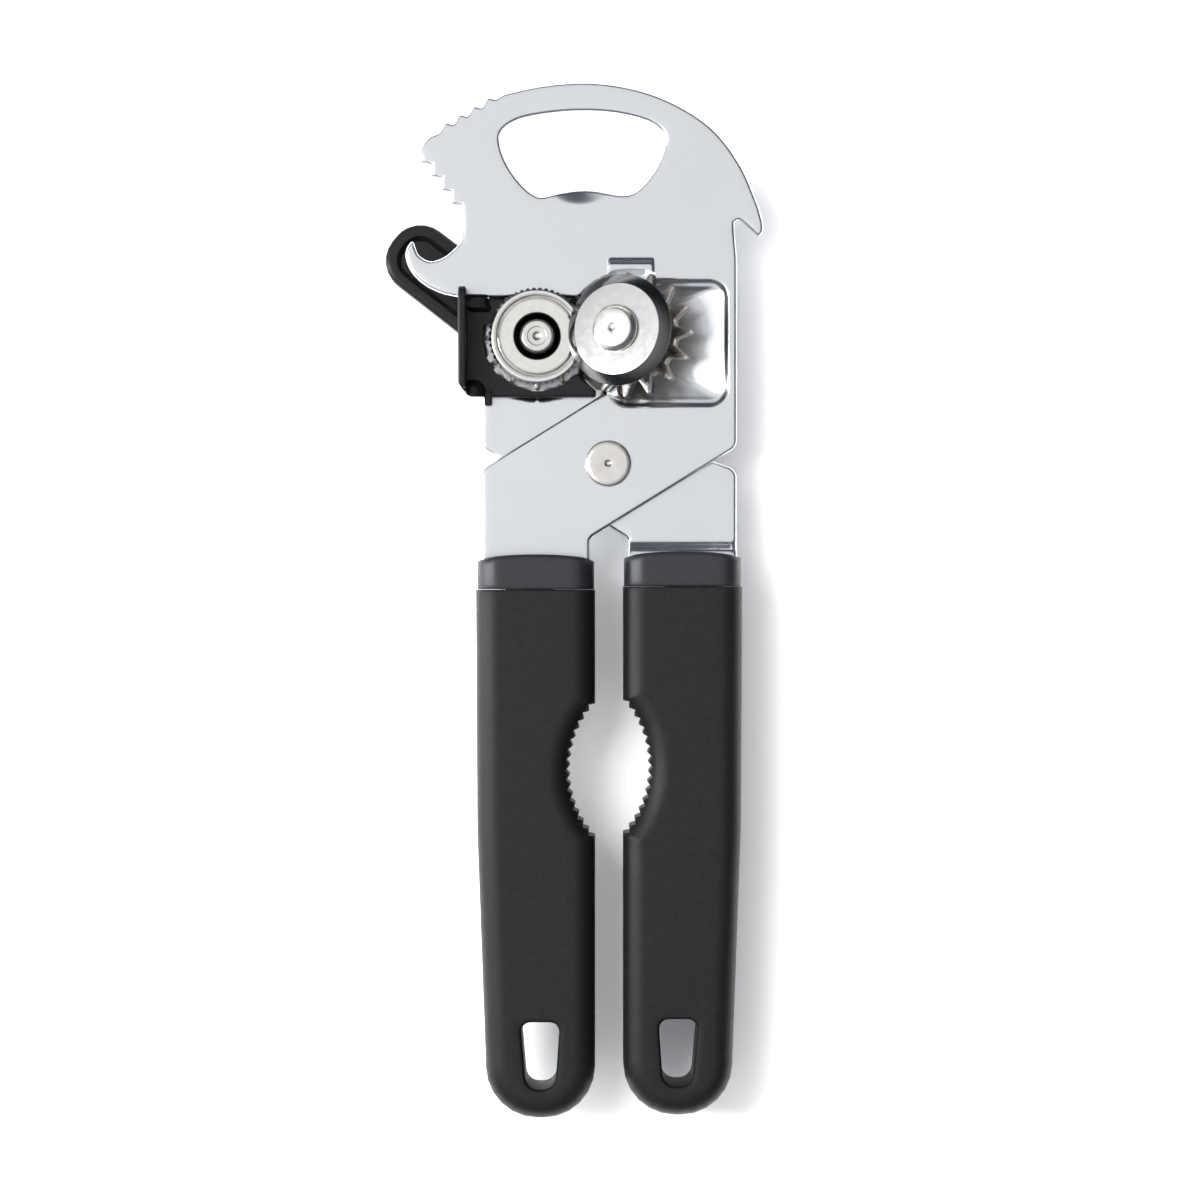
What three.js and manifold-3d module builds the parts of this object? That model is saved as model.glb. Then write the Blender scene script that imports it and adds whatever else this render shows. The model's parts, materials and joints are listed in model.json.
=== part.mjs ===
// Manual can opener with a bottle-opener head: two pressed steel levers on one pivot, moulded
// handles, a serrated feed wheel with its gear on the back lever, a tilted cutting wheel with its
// gear on the front lever, a moulded rim guide and a wing key behind.
// Millimetres. The design frame has its origin on the lever pivot, +Y towards the head, +X to the
// right seen from the cutting side and +Z towards that side; z = 0 is the back of the front plate.
import * as THREE from "three";
import { mergeVertices } from "three/addons/utils/BufferGeometryUtils.js";
import Module from "manifold-3d";

const wasm = await Module();
wasm.setup();

// ---------------------------------------------------------------- driving dimensions
const GAP = 0.3; // running clearance between pieces
const PRESS_GAP = 0.2; // clearance between pieces that are fixed to each other
const PLATE = 2.0; // sheet thickness of both levers
const MIRROR_X = 0.16; // the two levers mirror each other about this line

const HALF_WIDTH = 24.85; // lever blanks, from the mirror line to the outer edge
const CORNER_R = 2.3;
const BAND_ANGLE = 31.7; // slope of the diagonal band, degrees
const BAND_UPPER = 12.0; // pivot to the upper edge of the band
const BAND_LOWER = 10.4; // pivot to the lower edge
const TANG_INNER = 3.76; // mirror line to the tang's inner edge
const TANG_END_Y = -96;
const WAIST_X = -15;
const BACK_WAIST = 10.2; // the back blank is slimmer there, to pass under the pressed recess
const BACK_COLUMN_X = 1.3;

const HEAD_LOW_Y = 32.3; // lower edge of the head
const PIVOT_R = 3.0;
const PIVOT_HEAD_R = 4.45;

const FEED = { x: -13.8, y: 24.6 }; // feed axis on the back lever
const FEED_WHEEL_R = 9.44;
const FEED_WHEEL_T = 1.9;
const FEED_SERRATIONS = 48;
const FEED_TEETH = 12;
const CUTTER_TEETH = 15;
const CIRCULAR_PITCH = 4.58;
const ADDENDUM = 1.35;
const DEDENDUM = 1.8;
const TOOTH_SHARE = 0.36; // tooth thickness on the pitch circle over the circular pitch
const FLANK_ANGLE = 22; // degrees
const GEAR_T = 2.2;
const SHAFT_R = 2.6;

const CUTTER = { x: 5.0, y: 24.8, z: 3.1 }; // centre of the cutter gear
const CUTTER_TILT = 24.5; // lean of the cutter axis, degrees
const CUTTER_LEAN_UP = 12; // direction of that lean above -X, degrees
const CUTTER_EDGE_R = 10.8;
const CUTTER_FACE_R = 8.86;
const CUTTER_FACE_S = 8.6; // gear plane to the cutter's face, along the axis
const CUTTER_BEVEL = 1.5;
const CUTTER_T = 2.6;
const CUTTER_SHANK_R = 2.6;
const CUTTER_BUSH_R = 3.4; // neck of the bush in the front plate
const CUTTER_FLANGE_R = 4.2;
const SEAT_S = 5.5; // gear plane to the recess seat, along the axis
const SEAT_R = 5.2;

const DISH_DEPTH = 2.7; // pressed dish around the feed gear in the back lever
const GUIDE_TOP = PLATE; // the guide is flush with the front lever
const GUIDE_WALL_TOP = 9.5;
const CRANK_FRONT = -8.0;
const CRANK_T = 8.5;
const CRANK_REACH = 34.8; // feed axis to the wing tip
const CRANK_WIDTH = 13.6;
const CRANK_ANGLE = 142; // wing direction, degrees

const HANDLE_T = 15;
const HANDLE_MID_Z = 1.0;
const HANDLE_ROUND = 4.2;
const HANDLE_OUTER = 25.5; // mirror line to the outer edge of the collar
const HANDLE_INNER = 2.9; // mirror line to the inner edge
const COLLAR_TOP_Y = -17.7;
const COLLAR_END_Y = -24.2;
const HANDLE_TOP_Y = -24.7;
const HANDLE_END_Y = -126.6;
const HANDLE_END_R = 10;
const GRIP_NOTCHES = 15;
const GRIP_NOTCH_R = 0.85;
const SLOT_TOP_Y = -107.8;
const SLOT_END_Y = -120.7;
const RIGHT_HANDLE_SHIFT = 0.6; // the right handle sits this much nearer the head

const RELIEF_TURNS = [0, 4, 8, 12, 16]; // handle openings, in degrees, that the cutter gear has to clear
const RECESS_STEPS = 7; // points per rounded corner of the pressed recess
const RECESS = { x0: 1.2, y0: 12.0, x1: 22.3, y1: 34.8, rim: 1.3, r: 2.6 };
const GRIP_ARC = { r: 19.2, y: -59.3, half: Math.asin(12.8 / 19.2) };
const JOGGLE_TOP_Y = -15.2; // the back tang steps forward between these two heights
const JOGGLE_END_Y = -17.2;
const FEED_BUSH_R = 4.4; // sleeve of the bush in the dish
const GUIDE_PINS = [[-23.3, 14.4], [-6.3, 14.2]];
const PIN_R = 0.7; // pins that hold the rim guide
const PIN_TOP = GUIDE_TOP - 0.8; // the pins end inside the guide, so they don't show in front
const GUIDE_CLEARANCE = 0.9; // guide to the cutter gear
const BACK_CLEARANCE = 0.8; // back lever to the cutter gear
const FRONT_CLEARANCE = 0.6; // front lever to the cutter gear
const GUIDE_LOW_Y = 12.9; // lower edge of the rim guide
const GUIDE_POCKET_R = 10.6; // opening for the feed gear
const SPACER_R = 4.4; // washers on the feed shaft
const FEED_PHASE = 0; // turn of the first feed-gear tooth from +X
const CUTTER_PHASE = Math.PI + Math.PI / CUTTER_TEETH;
const WING_OFFSET = 1.7; // wings lie this far off the shaft's centre line
const WING_TIP_R = 6.2;
const HUB_R = 9.5;
const WING_RIM = 2.4; // raised rim round each wing's hollow
const INSERT_R = 5;
const INSERT_END = 5; // key's rear face to the front end of its metal insert
const CAP_R = 7;
const CAP_T = 1.4; // cap over the shaft's end
const WAVE_T = 0.4; // wave washer

// ---------------------------------------------------------------- helpers
const rad = THREE.MathUtils.degToRad;

// A closed outline through [x, y, radius] corners, each corner rounded by its radius.
function outline(corners, steps = 5) {
  const points = [];
  corners.forEach(([x, y, r = 0], i) => {
    const corner = new THREE.Vector2(x, y);
    if (!r) {
      points.push(corner);
      return;
    }
    const before = corners[(i + corners.length - 1) % corners.length];
    const after = corners[(i + 1) % corners.length];
    const a = new THREE.Vector2(before[0], before[1]).sub(corner).normalize();
    const b = new THREE.Vector2(after[0], after[1]).sub(corner).normalize();
    const half = Math.acos(THREE.MathUtils.clamp(a.dot(b), -1, 1)) / 2;
    const centre = a.clone().add(b).normalize().multiplyScalar(r / Math.sin(half)).add(corner);
    const start = a.clone().multiplyScalar(r / Math.tan(half)).add(corner).sub(centre);
    const end = b.clone().multiplyScalar(r / Math.tan(half)).add(corner).sub(centre);
    let sweep = end.angle() - start.angle();
    if (sweep > Math.PI) sweep -= 2 * Math.PI;
    if (sweep < -Math.PI) sweep += 2 * Math.PI;
    for (let k = 0; k <= steps; k++)
      points.push(start.clone().rotateAround(new THREE.Vector2(), (sweep * k) / steps).add(centre));
  });
  return points;
}

function solid(geometry, matrix = new THREE.Matrix4()) {
  const bare = geometry.clone().applyMatrix4(matrix);
  bare.deleteAttribute("normal");
  bare.deleteAttribute("uv");
  const merged = mergeVertices(bare, 1e-4);
  const mesh = new wasm.Mesh({
    numProp: 3,
    vertProperties: merged.attributes.position.array,
    triVerts: new Uint32Array(merged.index.array),
  });
  return new wasm.Manifold(mesh);
}

function geometryOf(body) {
  const mesh = body.getMesh();
  const geometry = new THREE.BufferGeometry();
  geometry.setAttribute("position", new THREE.BufferAttribute(mesh.vertProperties, 3));
  geometry.setIndex(new THREE.BufferAttribute(mesh.triVerts, 1));
  geometry.computeVertexNormals();
  return geometry;
}

// A flat outline extruded from z0 to z1, its edges rounded by `round` where given.
function slab(points, z0, z1, round = 0, roundSteps = 3) {
  const geometry = new THREE.ExtrudeGeometry(new THREE.Shape(points), {
    depth: z1 - z0 - 2 * round,
    bevelEnabled: round > 0,
    bevelThickness: round,
    bevelSize: round,
    bevelOffset: -round,
    bevelSegments: roundSteps,
    curveSegments: 8,
  });
  return solid(geometry, new THREE.Matrix4().makeTranslation(0, 0, z0 + round));
}

// A turned piece about +Z through (x, y); the profile is [radius, z] pairs.
function turned(profile, x = 0, y = 0, segments = 32) {
  const points = profile.map(([r, z]) => new THREE.Vector2(r, z));
  const geometry = new THREE.LatheGeometry(points, segments);
  const upright = new THREE.Matrix4().makeRotationX(Math.PI / 2);
  return solid(geometry, new THREE.Matrix4().makeTranslation(x, y, 0).multiply(upright));
}

const disc = (r, z0, z1, x = 0, y = 0, segments = 32) =>
  turned([[0, z0], [r, z0], [r, z1], [0, z1]], x, y, segments);

const ring = (inner, outer, z0, z1, x = 0, y = 0, segments = 32) =>
  turned([[inner, z0], [outer, z0], [outer, z1], [inner, z1], [inner, z0]], x, y, segments);

// A closed solid through rings of equally many points, capped flat at both ends.
function lofted(rings) {
  const count = rings[0].length;
  const positions = [];
  const indices = [];
  rings.forEach((loop) => loop.forEach((p) => positions.push(p.x, p.y, p.z)));
  const middleOf = (loop) =>
    loop.reduce((sum, p) => sum.add(p), new THREE.Vector3()).divideScalar(count);
  const first = rings.length * count;
  for (const loop of [rings[0], rings.at(-1)]) positions.push(...middleOf(loop).toArray());
  for (let level = 0; level + 1 < rings.length; level++)
    for (let i = 0; i < count; i++) {
      const a = level * count + i;
      const b = level * count + ((i + 1) % count);
      indices.push(a, b, b + count, a, b + count, a + count);
    }
  const last = (rings.length - 1) * count;
  for (let i = 0; i < count; i++) {
    const next = (i + 1) % count;
    indices.push(first, next, i);
    indices.push(first + 1, last + i, last + next);
  }
  const geometry = new THREE.BufferGeometry();
  geometry.setAttribute("position", new THREE.Float32BufferAttribute(positions, 3));
  geometry.setIndex(indices);
  return solid(geometry);
}

// ---------------------------------------------------------------- derived places
const tilt = rad(CUTTER_TILT);
const leanUp = rad(CUTTER_LEAN_UP);
const cutterAxis = new THREE.Vector3(
  -Math.sin(tilt) * Math.cos(leanUp),
  Math.sin(tilt) * Math.sin(leanUp),
  Math.cos(tilt),
);
const cutterCentre = new THREE.Vector3(CUTTER.x, CUTTER.y, CUTTER.z);
const cutterTurn = new THREE.Quaternion().setFromUnitVectors(new THREE.Vector3(0, 0, 1), cutterAxis);
const cutterFrame = new THREE.Matrix4().compose(cutterCentre, cutterTurn, new THREE.Vector3(1, 1, 1));

const feedPitchR = (CIRCULAR_PITCH * FEED_TEETH) / (2 * Math.PI);
const cutterPitchR = (CIRCULAR_PITCH * CUTTER_TEETH) / (2 * Math.PI);
const feedTipR = feedPitchR + ADDENDUM;
const cutterTipR = cutterPitchR + ADDENDUM;

const backFront = -GAP; // front face of the back lever
const backBack = backFront - PLATE;
const dishFloor = backFront - DISH_DEPTH;
const dishBack = dishFloor - PLATE;
const feedGearBack = dishFloor + 0.5;
const feedGearFront = feedGearBack + GEAR_T;
const feedWheelBack = PLATE + GAP;
const feedWheelFront = feedWheelBack + FEED_WHEEL_T;
const crankBack = CRANK_FRONT - CRANK_T;
const leftEdge = MIRROR_X - HALF_WIDTH;
const rightEdge = MIRROR_X + HALF_WIDTH;
const mirror = ([x, y, r]) => [2 * MIRROR_X - x, y, r];

// The tilted space that the cutter gear turns in.
const gearSpace = (clearance) =>
  disc(cutterTipR + clearance, -GEAR_T / 2 - clearance, CUTTER_FACE_S, 0, 0, 48).transform(
    cutterFrame.elements,
  );

// Clears a body of the back lever from the cutter gear, over the first part of the opening.
function relieved(body, clearance) {
  const pivotTurn = (turn) => gearSpace(clearance).rotate([0, 0, -turn]);
  return RELIEF_TURNS.reduce((left, turn) => left.subtract(pivotTurn(turn)), body);
}

// Where a band edge at `distance` from the pivot crosses the upright line through x.
function bandY(distance, x, side) {
  const slope = Math.tan(rad(BAND_ANGLE));
  return side * (distance / Math.cos(rad(BAND_ANGLE))) + slope * x;
}

// Lower half of a lever blank: column, diagonal band and tang; the column is open at topY.
// The band's upper edge is drawn in to `waist` from the pivot between the column and the shoulder.
function leverCorners(waist, columnInnerX, topY) {
  const tangX = MIRROR_X - TANG_INNER;
  return [
    [rightEdge, topY],
    [columnInnerX, topY],
    [columnInnerX, bandY(waist, columnInnerX, 1)],
    [WAIST_X, bandY(waist, WAIST_X, 1)],
    [leftEdge, bandY(BAND_UPPER, leftEdge, 1), CORNER_R],
    [leftEdge, tangShoulderY],
    [tangOuterX, tangShoulderY],
    [tangOuterX, TANG_END_Y, 3],
    [tangInnerX, TANG_END_Y, 3],
    [tangInnerX, tangShoulderY],
    [tangX, tangShoulderY],
    [tangX, bandY(BAND_LOWER, tangX, -1)],
    [rightEdge, bandY(BAND_LOWER, rightEdge, -1), CORNER_R],
  ];
}
const tangShoulderY = COLLAR_TOP_Y - 2.1;
const tangOuterX = leftEdge + 4.2;
const tangInnerX = MIRROR_X - TANG_INNER - 7;

// ---------------------------------------------------------------- front lever
const v2 = (pairs) => pairs.map(([x, y]) => new THREE.Vector2(x, y));

// Outer edge of the head from its lower right corner over the claw and the dome.
const HEAD_RIGHT = [[25.0, 39.9], [24.6, 44.4], [24.4, 46.7], [25.4, 47.3], [26.6, 46.5]];
const CLAW = [[28.5, 44.8], [29.3, 44.2], [30.0, 45.0], [30.1, 46.7]];
const DOME = [
  [29.2, 50.0], [25.9, 57.6], [20.7, 64.6], [13.9, 69.4], [6.1, 72.5], [-3.6, 74.0], [-13.3, 73.3],
  [-20.2, 71.8],
];
const SCALLOP_START = [-21.8, 70.8]; // first low point of the wavy shoulder
const SCALLOP_STEP = [-2.73, -1.6];
const SCALLOP_CREST = [-1.6, 0.2];
const SCALLOPS = 4;
const SAW_START = [-36.4, 58.4]; // first tooth tip
const SAW_STEP = [1.88, -2.66];
const SAW_BITE = [2.2, -0.3];
const SAW_TEETH = 4;
const NOSE = [[-32.72, 64.4], [-34.6, 63.5], [-35.8, 62.3], [-36.4, 60.9], SAW_START];
const NECK = [[-28.3, 46.5], [-28.7, 43.1], [-29.3, 42.3], [-31.9, 40.1], [-34.6, 39.3], [-36.8, 40.5]];
const HOOK = [
  [-37.3, 41.6], [-38.0, 43.1], [-38.7, 42.6], [-39.4, 40.7], [-38.6, 37.8], [-36.2, 35.1],
  [-32.7, 33.2], [-29.0, HEAD_LOW_Y],
];

function headShape() {
  const shape = new THREE.Shape();
  shape.moveTo(rightEdge, HEAD_LOW_Y);
  for (const [x, y] of HEAD_RIGHT.slice(0, 2)) shape.lineTo(x, y);
  shape.splineThru(v2([...HEAD_RIGHT.slice(2), ...CLAW]));
  const shoulder = [];
  for (let i = 0; i < SCALLOPS; i++) {
    const low = [SCALLOP_START[0] + SCALLOP_STEP[0] * i, SCALLOP_START[1] + SCALLOP_STEP[1] * i];
    shoulder.push(low, [low[0] + SCALLOP_CREST[0], low[1] + SCALLOP_CREST[1]]);
  }
  shape.splineThru(v2(DOME));
  shape.splineThru(v2([...shoulder, ...NOSE]));
  for (let i = 0; i < SAW_TEETH; i++) {
    const x = SAW_START[0] + SAW_STEP[0] * i;
    const y = SAW_START[1] + SAW_STEP[1] * i;
    if (i) shape.lineTo(x, y);
    shape.lineTo(x + SAW_BITE[0], y + SAW_BITE[1]);
  }
  shape.splineThru(v2([...NECK, ...HOOK]));
  return shape;
}

const WINDOW = [
  [-20.9, 64.2], [-18.1, 66.6], [-11.3, 68.1], [-3.6, 68.5], [3.3, 67.8], [9.0, 65.9], [11.1, 63.4],
  [10.4, 59.6], [7.2, 54.4], [4.3, 52.3], [1.2, 52.3], [-2.5, 53.2], [-5.5, 53.5], [-9.4, 52.7],
  [-13.3, 51.8], [-16.2, 53.6], [-19.4, 57.8], [-20.9, 61.6],
];

// Rounded rectangle as a ring of points at height z, evenly placed for lofting.
function rectangleRing(x0, y0, x1, y1, r, z) {
  const corners = [[x1, y0, r], [x1, y1, r], [x0, y1, r], [x0, y0, r]];
  return outline(corners, RECESS_STEPS).map((p) => new THREE.Vector3(p.x, p.y, z));
}

// Ring on the tilted seat of the cutter rivet, its points matched to the rectangle's corners.
function seatRing(r, s) {
  const points = [];
  for (let corner = 0; corner < 4; corner++)
    for (let k = 0; k <= RECESS_STEPS; k++) {
      const turn = rad(-90 + 90 * corner + 12 + (66 * k) / RECESS_STEPS);
      points.push(
        new THREE.Vector3(r * Math.cos(turn), r * Math.sin(turn), s).applyMatrix4(cutterFrame),
      );
    }
  return points;
}


function recessHollow() {
  const { x0, y0, x1, y1, rim, r } = RECESS;
  return lofted([
    seatRing(SEAT_R, -SEAT_S),
    rectangleRing(x0, y0, x1, y1, r, PLATE - 0.8),
    rectangleRing(x0 - rim, y0 - rim, x1 + rim, y1 + rim, r + rim, PLATE + 0.02),
    rectangleRing(x0 - rim, y0 - rim, x1 + rim, y1 + rim, r + rim, PLATE + 1),
  ]);
}

function recessShell() {
  const { x0, y0, x1, y1, rim, r } = RECESS;
  return lofted([
    seatRing(SEAT_R + 1.2, -SEAT_S - PLATE),
    rectangleRing(x0 - 0.7, y0 - 0.7, x1 + 0.9, y1 + 0.7, r, -0.8),
    rectangleRing(x0 - rim, y0 - rim, x1 + rim, y1 + rim, r + rim, 0.05),
    rectangleRing(x0 - rim, y0 - rim, x1 + rim, y1 + rim, r + rim, PLATE / 2),
  ]);
}

// Tab pressed forward above the cutter: it rises from the sheet and ends under the wheel.
function pressedTab() {
  const rings = [
    [39.9, PLATE - 0.3, PLATE], [38.6, PLATE - 0.2, PLATE + 1.2], [35.6, PLATE - 0.2, PLATE + 1.5],
  ].map(([y, low, high]) =>
    [[0.4, low], [8.4, low], [7.9, high], [0.9, high]].map(([x, z]) => new THREE.Vector3(x, y, z)),
  );
  return lofted(rings);
}

function frontPlate() {
  const head = headShape().extractPoints(4).shape;
  const gussetX = -0.4; // where the head's lower edge meets the column
  let body = slab(head, 0, PLATE).add(
    slab(outline(leverCorners(BAND_UPPER, gussetX, HEAD_LOW_Y + 2)), 0, PLATE),
  );
  const window = new THREE.Shape();
  window.setFromPoints(new THREE.SplineCurve(v2([...WINDOW, WINDOW[0]])).getPoints(48).slice(0, -1));
  body = body.subtract(slab(window.getPoints(), -1, PLATE + 1));
  body = body.add(recessShell()).subtract(recessHollow()).add(pressedTab());
  body = body.subtract(gearSpace(FRONT_CLEARANCE));
  body = body.subtract(disc(CUTTER_BUSH_R + GAP, -SEAT_S - 4, -SEAT_S + 2).transform(cutterFrame.elements));
  return body.subtract(disc(PIVOT_R + PRESS_GAP, -1, PLATE + 1));
}

// ---------------------------------------------------------------- handles
const tangPocket = (x0, x1, y0, y1, clearance) =>
  slab(
    outline([[x0 - clearance, y0], [x1 + clearance, y0], [x1 + clearance, y1], [x0 - clearance, y1]]),
    -clearance,
    PLATE + clearance,
  );

// Grip outline of the left handle, with the concave finger arc on its inner side.
function gripCorners() {
  const outer = MIRROR_X - HANDLE_OUTER - 0.3;
  const inner = MIRROR_X - HANDLE_INNER + 0.2;
  const arc = [];
  const steps = 14;
  for (let i = 0; i <= steps; i++) {
    const turn = GRIP_ARC.half * ((2 * i) / steps - 1);
    arc.push([gripCentreX - GRIP_ARC.r * Math.cos(turn), GRIP_ARC.y + GRIP_ARC.r * Math.sin(turn)]);
  }
  return [
    [outer, HANDLE_TOP_Y + 8],
    [outer + 0.3, -71],
    [outer + 1.9, HANDLE_END_Y + 12],
    [outer + 2.1, HANDLE_END_Y, HANDLE_END_R],
    [inner, HANDLE_END_Y, HANDLE_END_R],
    ...arc,
    [inner, HANDLE_TOP_Y + 8],
  ];
}
const gripCentreX = MIRROR_X - HANDLE_INNER + 0.2 + GRIP_ARC.r * Math.cos(GRIP_ARC.half);
const handleBack = HANDLE_MID_Z - HANDLE_T / 2;
const handleFront = HANDLE_MID_Z + HANDLE_T / 2;

const yBand = (yLow, yHigh) =>
  slab(outline([[-80, yLow], [80, yLow], [80, yHigh], [-80, yHigh]]), -60, 60);

function leftHandle() {
  let body = slab(outline(gripCorners(), 7), handleBack, handleFront, HANDLE_ROUND, 4);
  body = body.subtract(yBand(HANDLE_TOP_Y, HANDLE_TOP_Y + 40));
  for (let i = 0; i < GRIP_NOTCHES; i++) {
    const turn = GRIP_ARC.half * ((2 * (i + 0.5)) / GRIP_NOTCHES - 1);
    const x = gripCentreX - GRIP_ARC.r * Math.cos(turn);
    const y = GRIP_ARC.y + GRIP_ARC.r * Math.sin(turn);
    body = body.subtract(disc(GRIP_NOTCH_R, handleBack - 1, handleFront + 1, x, y, 10));
  }
  const slotX = MIRROR_X - 13.3;
  const slot = outline([
    [slotX - 3.8, SLOT_TOP_Y, 1.8], [slotX - 2.7, SLOT_END_Y, 2.6], [slotX + 2.9, SLOT_END_Y, 2.6],
    [slotX + 3.8, SLOT_TOP_Y, 1.8],
  ]);
  body = body.subtract(slab(slot, handleBack - 1, handleFront + 1));
  const pocketEnd = TANG_END_Y - RIGHT_HANDLE_SHIFT - GAP;
  return body.subtract(tangPocket(tangOuterX, tangInnerX, pocketEnd, 0, PRESS_GAP));
}

function leftCollar() {
  const outer = MIRROR_X - HANDLE_OUTER;
  const inner = MIRROR_X - HANDLE_INNER;
  const middle = (outer + inner) / 2;
  const bar = [[outer, COLLAR_END_Y - 12], [inner, COLLAR_END_Y - 12], [inner, 0], [outer, 0]];
  const top = new THREE.SplineCurve(
    v2([[inner, COLLAR_TOP_Y - 1.5], [middle, COLLAR_TOP_Y], [outer, COLLAR_TOP_Y - 1.5]]),
  ).getPoints(12);
  const mask = [new THREE.Vector2(outer, COLLAR_END_Y), new THREE.Vector2(inner, COLLAR_END_Y), ...top];
  let body = slab(outline(bar), handleBack, handleFront, HANDLE_ROUND, 4);
  body = body.intersect(slab(mask, handleBack - 1, handleFront + 1));
  body = body.subtract(tangPocket(tangOuterX, tangInnerX, COLLAR_END_Y - 1, 0, PRESS_GAP));
  const tangX = MIRROR_X - TANG_INNER;
  const pocketEnd = tangShoulderY - RIGHT_HANDLE_SHIFT - PRESS_GAP;
  return body.subtract(tangPocket(leftEdge, tangX, pocketEnd, 0, PRESS_GAP));
}

const mirrored = (body, shiftY) =>
  body.mirror([1, 0, 0]).translate([2 * MIRROR_X, shiftY, 0]);

// ---------------------------------------------------------------- back lever

function backPlate() {
  const blank = outline(leverCorners(BACK_WAIST, BACK_COLUMN_X, FEED.y).map(mirror).reverse());
  let body = slab(blank, backBack, backFront).intersect(yBand(JOGGLE_TOP_Y, 100));
  const tang = slab(blank, 0, PLATE).intersect(yBand(-200, JOGGLE_END_Y));
  const x0 = MIRROR_X + TANG_INNER;
  const step = lofted(
    [[JOGGLE_TOP_Y + 0.01, backBack, backFront], [JOGGLE_END_Y - 0.01, 0, PLATE]].map(([y, low, high]) =>
      [[x0, low], [rightEdge, low], [rightEdge, high], [x0, high]].map(
        ([x, z]) => new THREE.Vector3(x, y, z),
      ),
    ),
  );
  body = body.add(step).add(tang);
  const pressed = turned(
    [[0, dishBack], [dishR + 1.3, dishBack], [dishR + 2, backBack - 0.2], [dishR + 2, backFront],
      [0, backFront]],
    FEED.x, FEED.y, 40,
  );
  const hollow = turned(
    [[0, dishFloor], [dishR, dishFloor], [dishR + 1, backFront + 0.01], [dishR + 1, PLATE],
      [0, PLATE]],
    FEED.x, FEED.y, 40,
  );
  body = body.add(pressed).subtract(hollow);
  const rightOfColumn = slab(
    outline([[2 * MIRROR_X - BACK_COLUMN_X, bandY(BAND_UPPER, 0, 1)], [30, bandY(BAND_UPPER, 0, 1)],
      [30, 60], [2 * MIRROR_X - BACK_COLUMN_X, 60]]),
    -10, 1,
  );
  body = relieved(body.subtract(rightOfColumn), BACK_CLEARANCE);
  body = body.subtract(disc(FEED_BUSH_R + PRESS_GAP, -10, 1, FEED.x, FEED.y));
  for (const [x, y] of GUIDE_PINS) body = body.subtract(disc(PIN_R + PRESS_GAP, -10, 1, x, y, 16));
  return body.subtract(disc(PIVOT_R + PRESS_GAP, -10, 1));
}
const dishR = feedTipR + 0.45;

function rimGuide() {
  const wallX = leftEdge - 4.2;
  const wall = 1.5;
  const low = GUIDE_LOW_Y;
  const base = GUIDE_TOP;
  const bottom = backFront + PRESS_GAP;
  const topY = HEAD_LOW_Y - GAP;
  const outlineBase = [
    [wallX, topY], [wallX, low + 2.3], [wallX + 1.7, low], [-2.4, low], [-2.4, topY],
  ];
  let body = slab(outline(outlineBase), bottom, base);
  const pocket = disc(GUIDE_POCKET_R, -5, 5, FEED.x, FEED.y, 40)
    .intersect(yBand(-10, FEED.y + 2.5))
    .subtract(disc(FEED_WHEEL_R - 1.4, -5, 5, FEED.x, FEED.y, 32));
  body = body.subtract(pocket).subtract(disc(SPACER_R + GAP, -5, 5, FEED.x, FEED.y));
  const sheet = outline([
    [wallX, topY + 1.9, 0.5], [wallX, low + 2.3], [wallX + wall, low + 0.2], [wallX + wall, topY + 1.9],
  ]);
  body = body.add(slab(sheet, bottom, GUIDE_WALL_TOP));
  const gusset = outline([
    [wallX + wall - 0.2, topY + 1.9], [wallX + 3.6, topY + 1.9], [wallX + 5.7, topY - 0.2],
    [wallX + 5.7, topY - 2], [wallX + wall - 0.2, topY - 2],
  ]);
  body = body.add(slab(gusset, base - 0.1, base + 2.2));
  const overHead = yBand(topY + 0.001, topY + 10).intersect(slab(outline(
    [[-60, 0], [0, 0], [0, 80], [-60, 80]]), -5, PLATE + GAP));
  body = body.subtract(overHead);
  body = body.add(disc(2.5, bottom, base + 1.6, wallX + 2.6, low + 0.9, 24).intersect(yBand(low, 60)));
  body = body.add(slab(outline([
    [wallX + 4.8, low - 1.6], [wallX + 6.3, low - 1.6], [wallX + 6.3, low + 1], [wallX + 4.8, low + 1],
  ]), bottom, base - 0.5));
  for (const [x, y] of GUIDE_PINS)
    body = body.subtract(disc(PIN_R + PRESS_GAP, -10, PIN_TOP + PRESS_GAP, x, y, 16));
  return relieved(body, GUIDE_CLEARANCE);
}

// ---------------------------------------------------------------- gears and wheels
// Straight-flanked gear outline; `phase` turns its first tooth from +X.
function gearPoints(teeth, pitchR, phase) {
  const share = (TOOTH_SHARE * Math.PI) / teeth;
  const lean = Math.tan(rad(FLANK_ANGLE));
  const halfTip = share - (ADDENDUM * lean) / pitchR;
  const halfRoot = share + (DEDENDUM * lean) / pitchR;
  const points = [];
  for (let i = 0; i < teeth; i++) {
    const middle = phase + (2 * Math.PI * i) / teeth;
    for (const [r, off] of [
      [pitchR - DEDENDUM, -halfRoot], [pitchR + ADDENDUM, -halfTip],
      [pitchR + ADDENDUM, halfTip], [pitchR - DEDENDUM, halfRoot],
    ])
      points.push(new THREE.Vector2(r * Math.cos(middle + off), r * Math.sin(middle + off)));
  }
  return points;
}

const bored = (body, r, x = 0, y = 0) => body.subtract(disc(r, -60, 60, x, y));

function feedGear() {
  const gear = slab(gearPoints(FEED_TEETH, feedPitchR, FEED_PHASE), feedGearBack, feedGearFront);
  return bored(gear.translate([FEED.x, FEED.y, 0]), SHAFT_R + PRESS_GAP, FEED.x, FEED.y);
}

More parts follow.
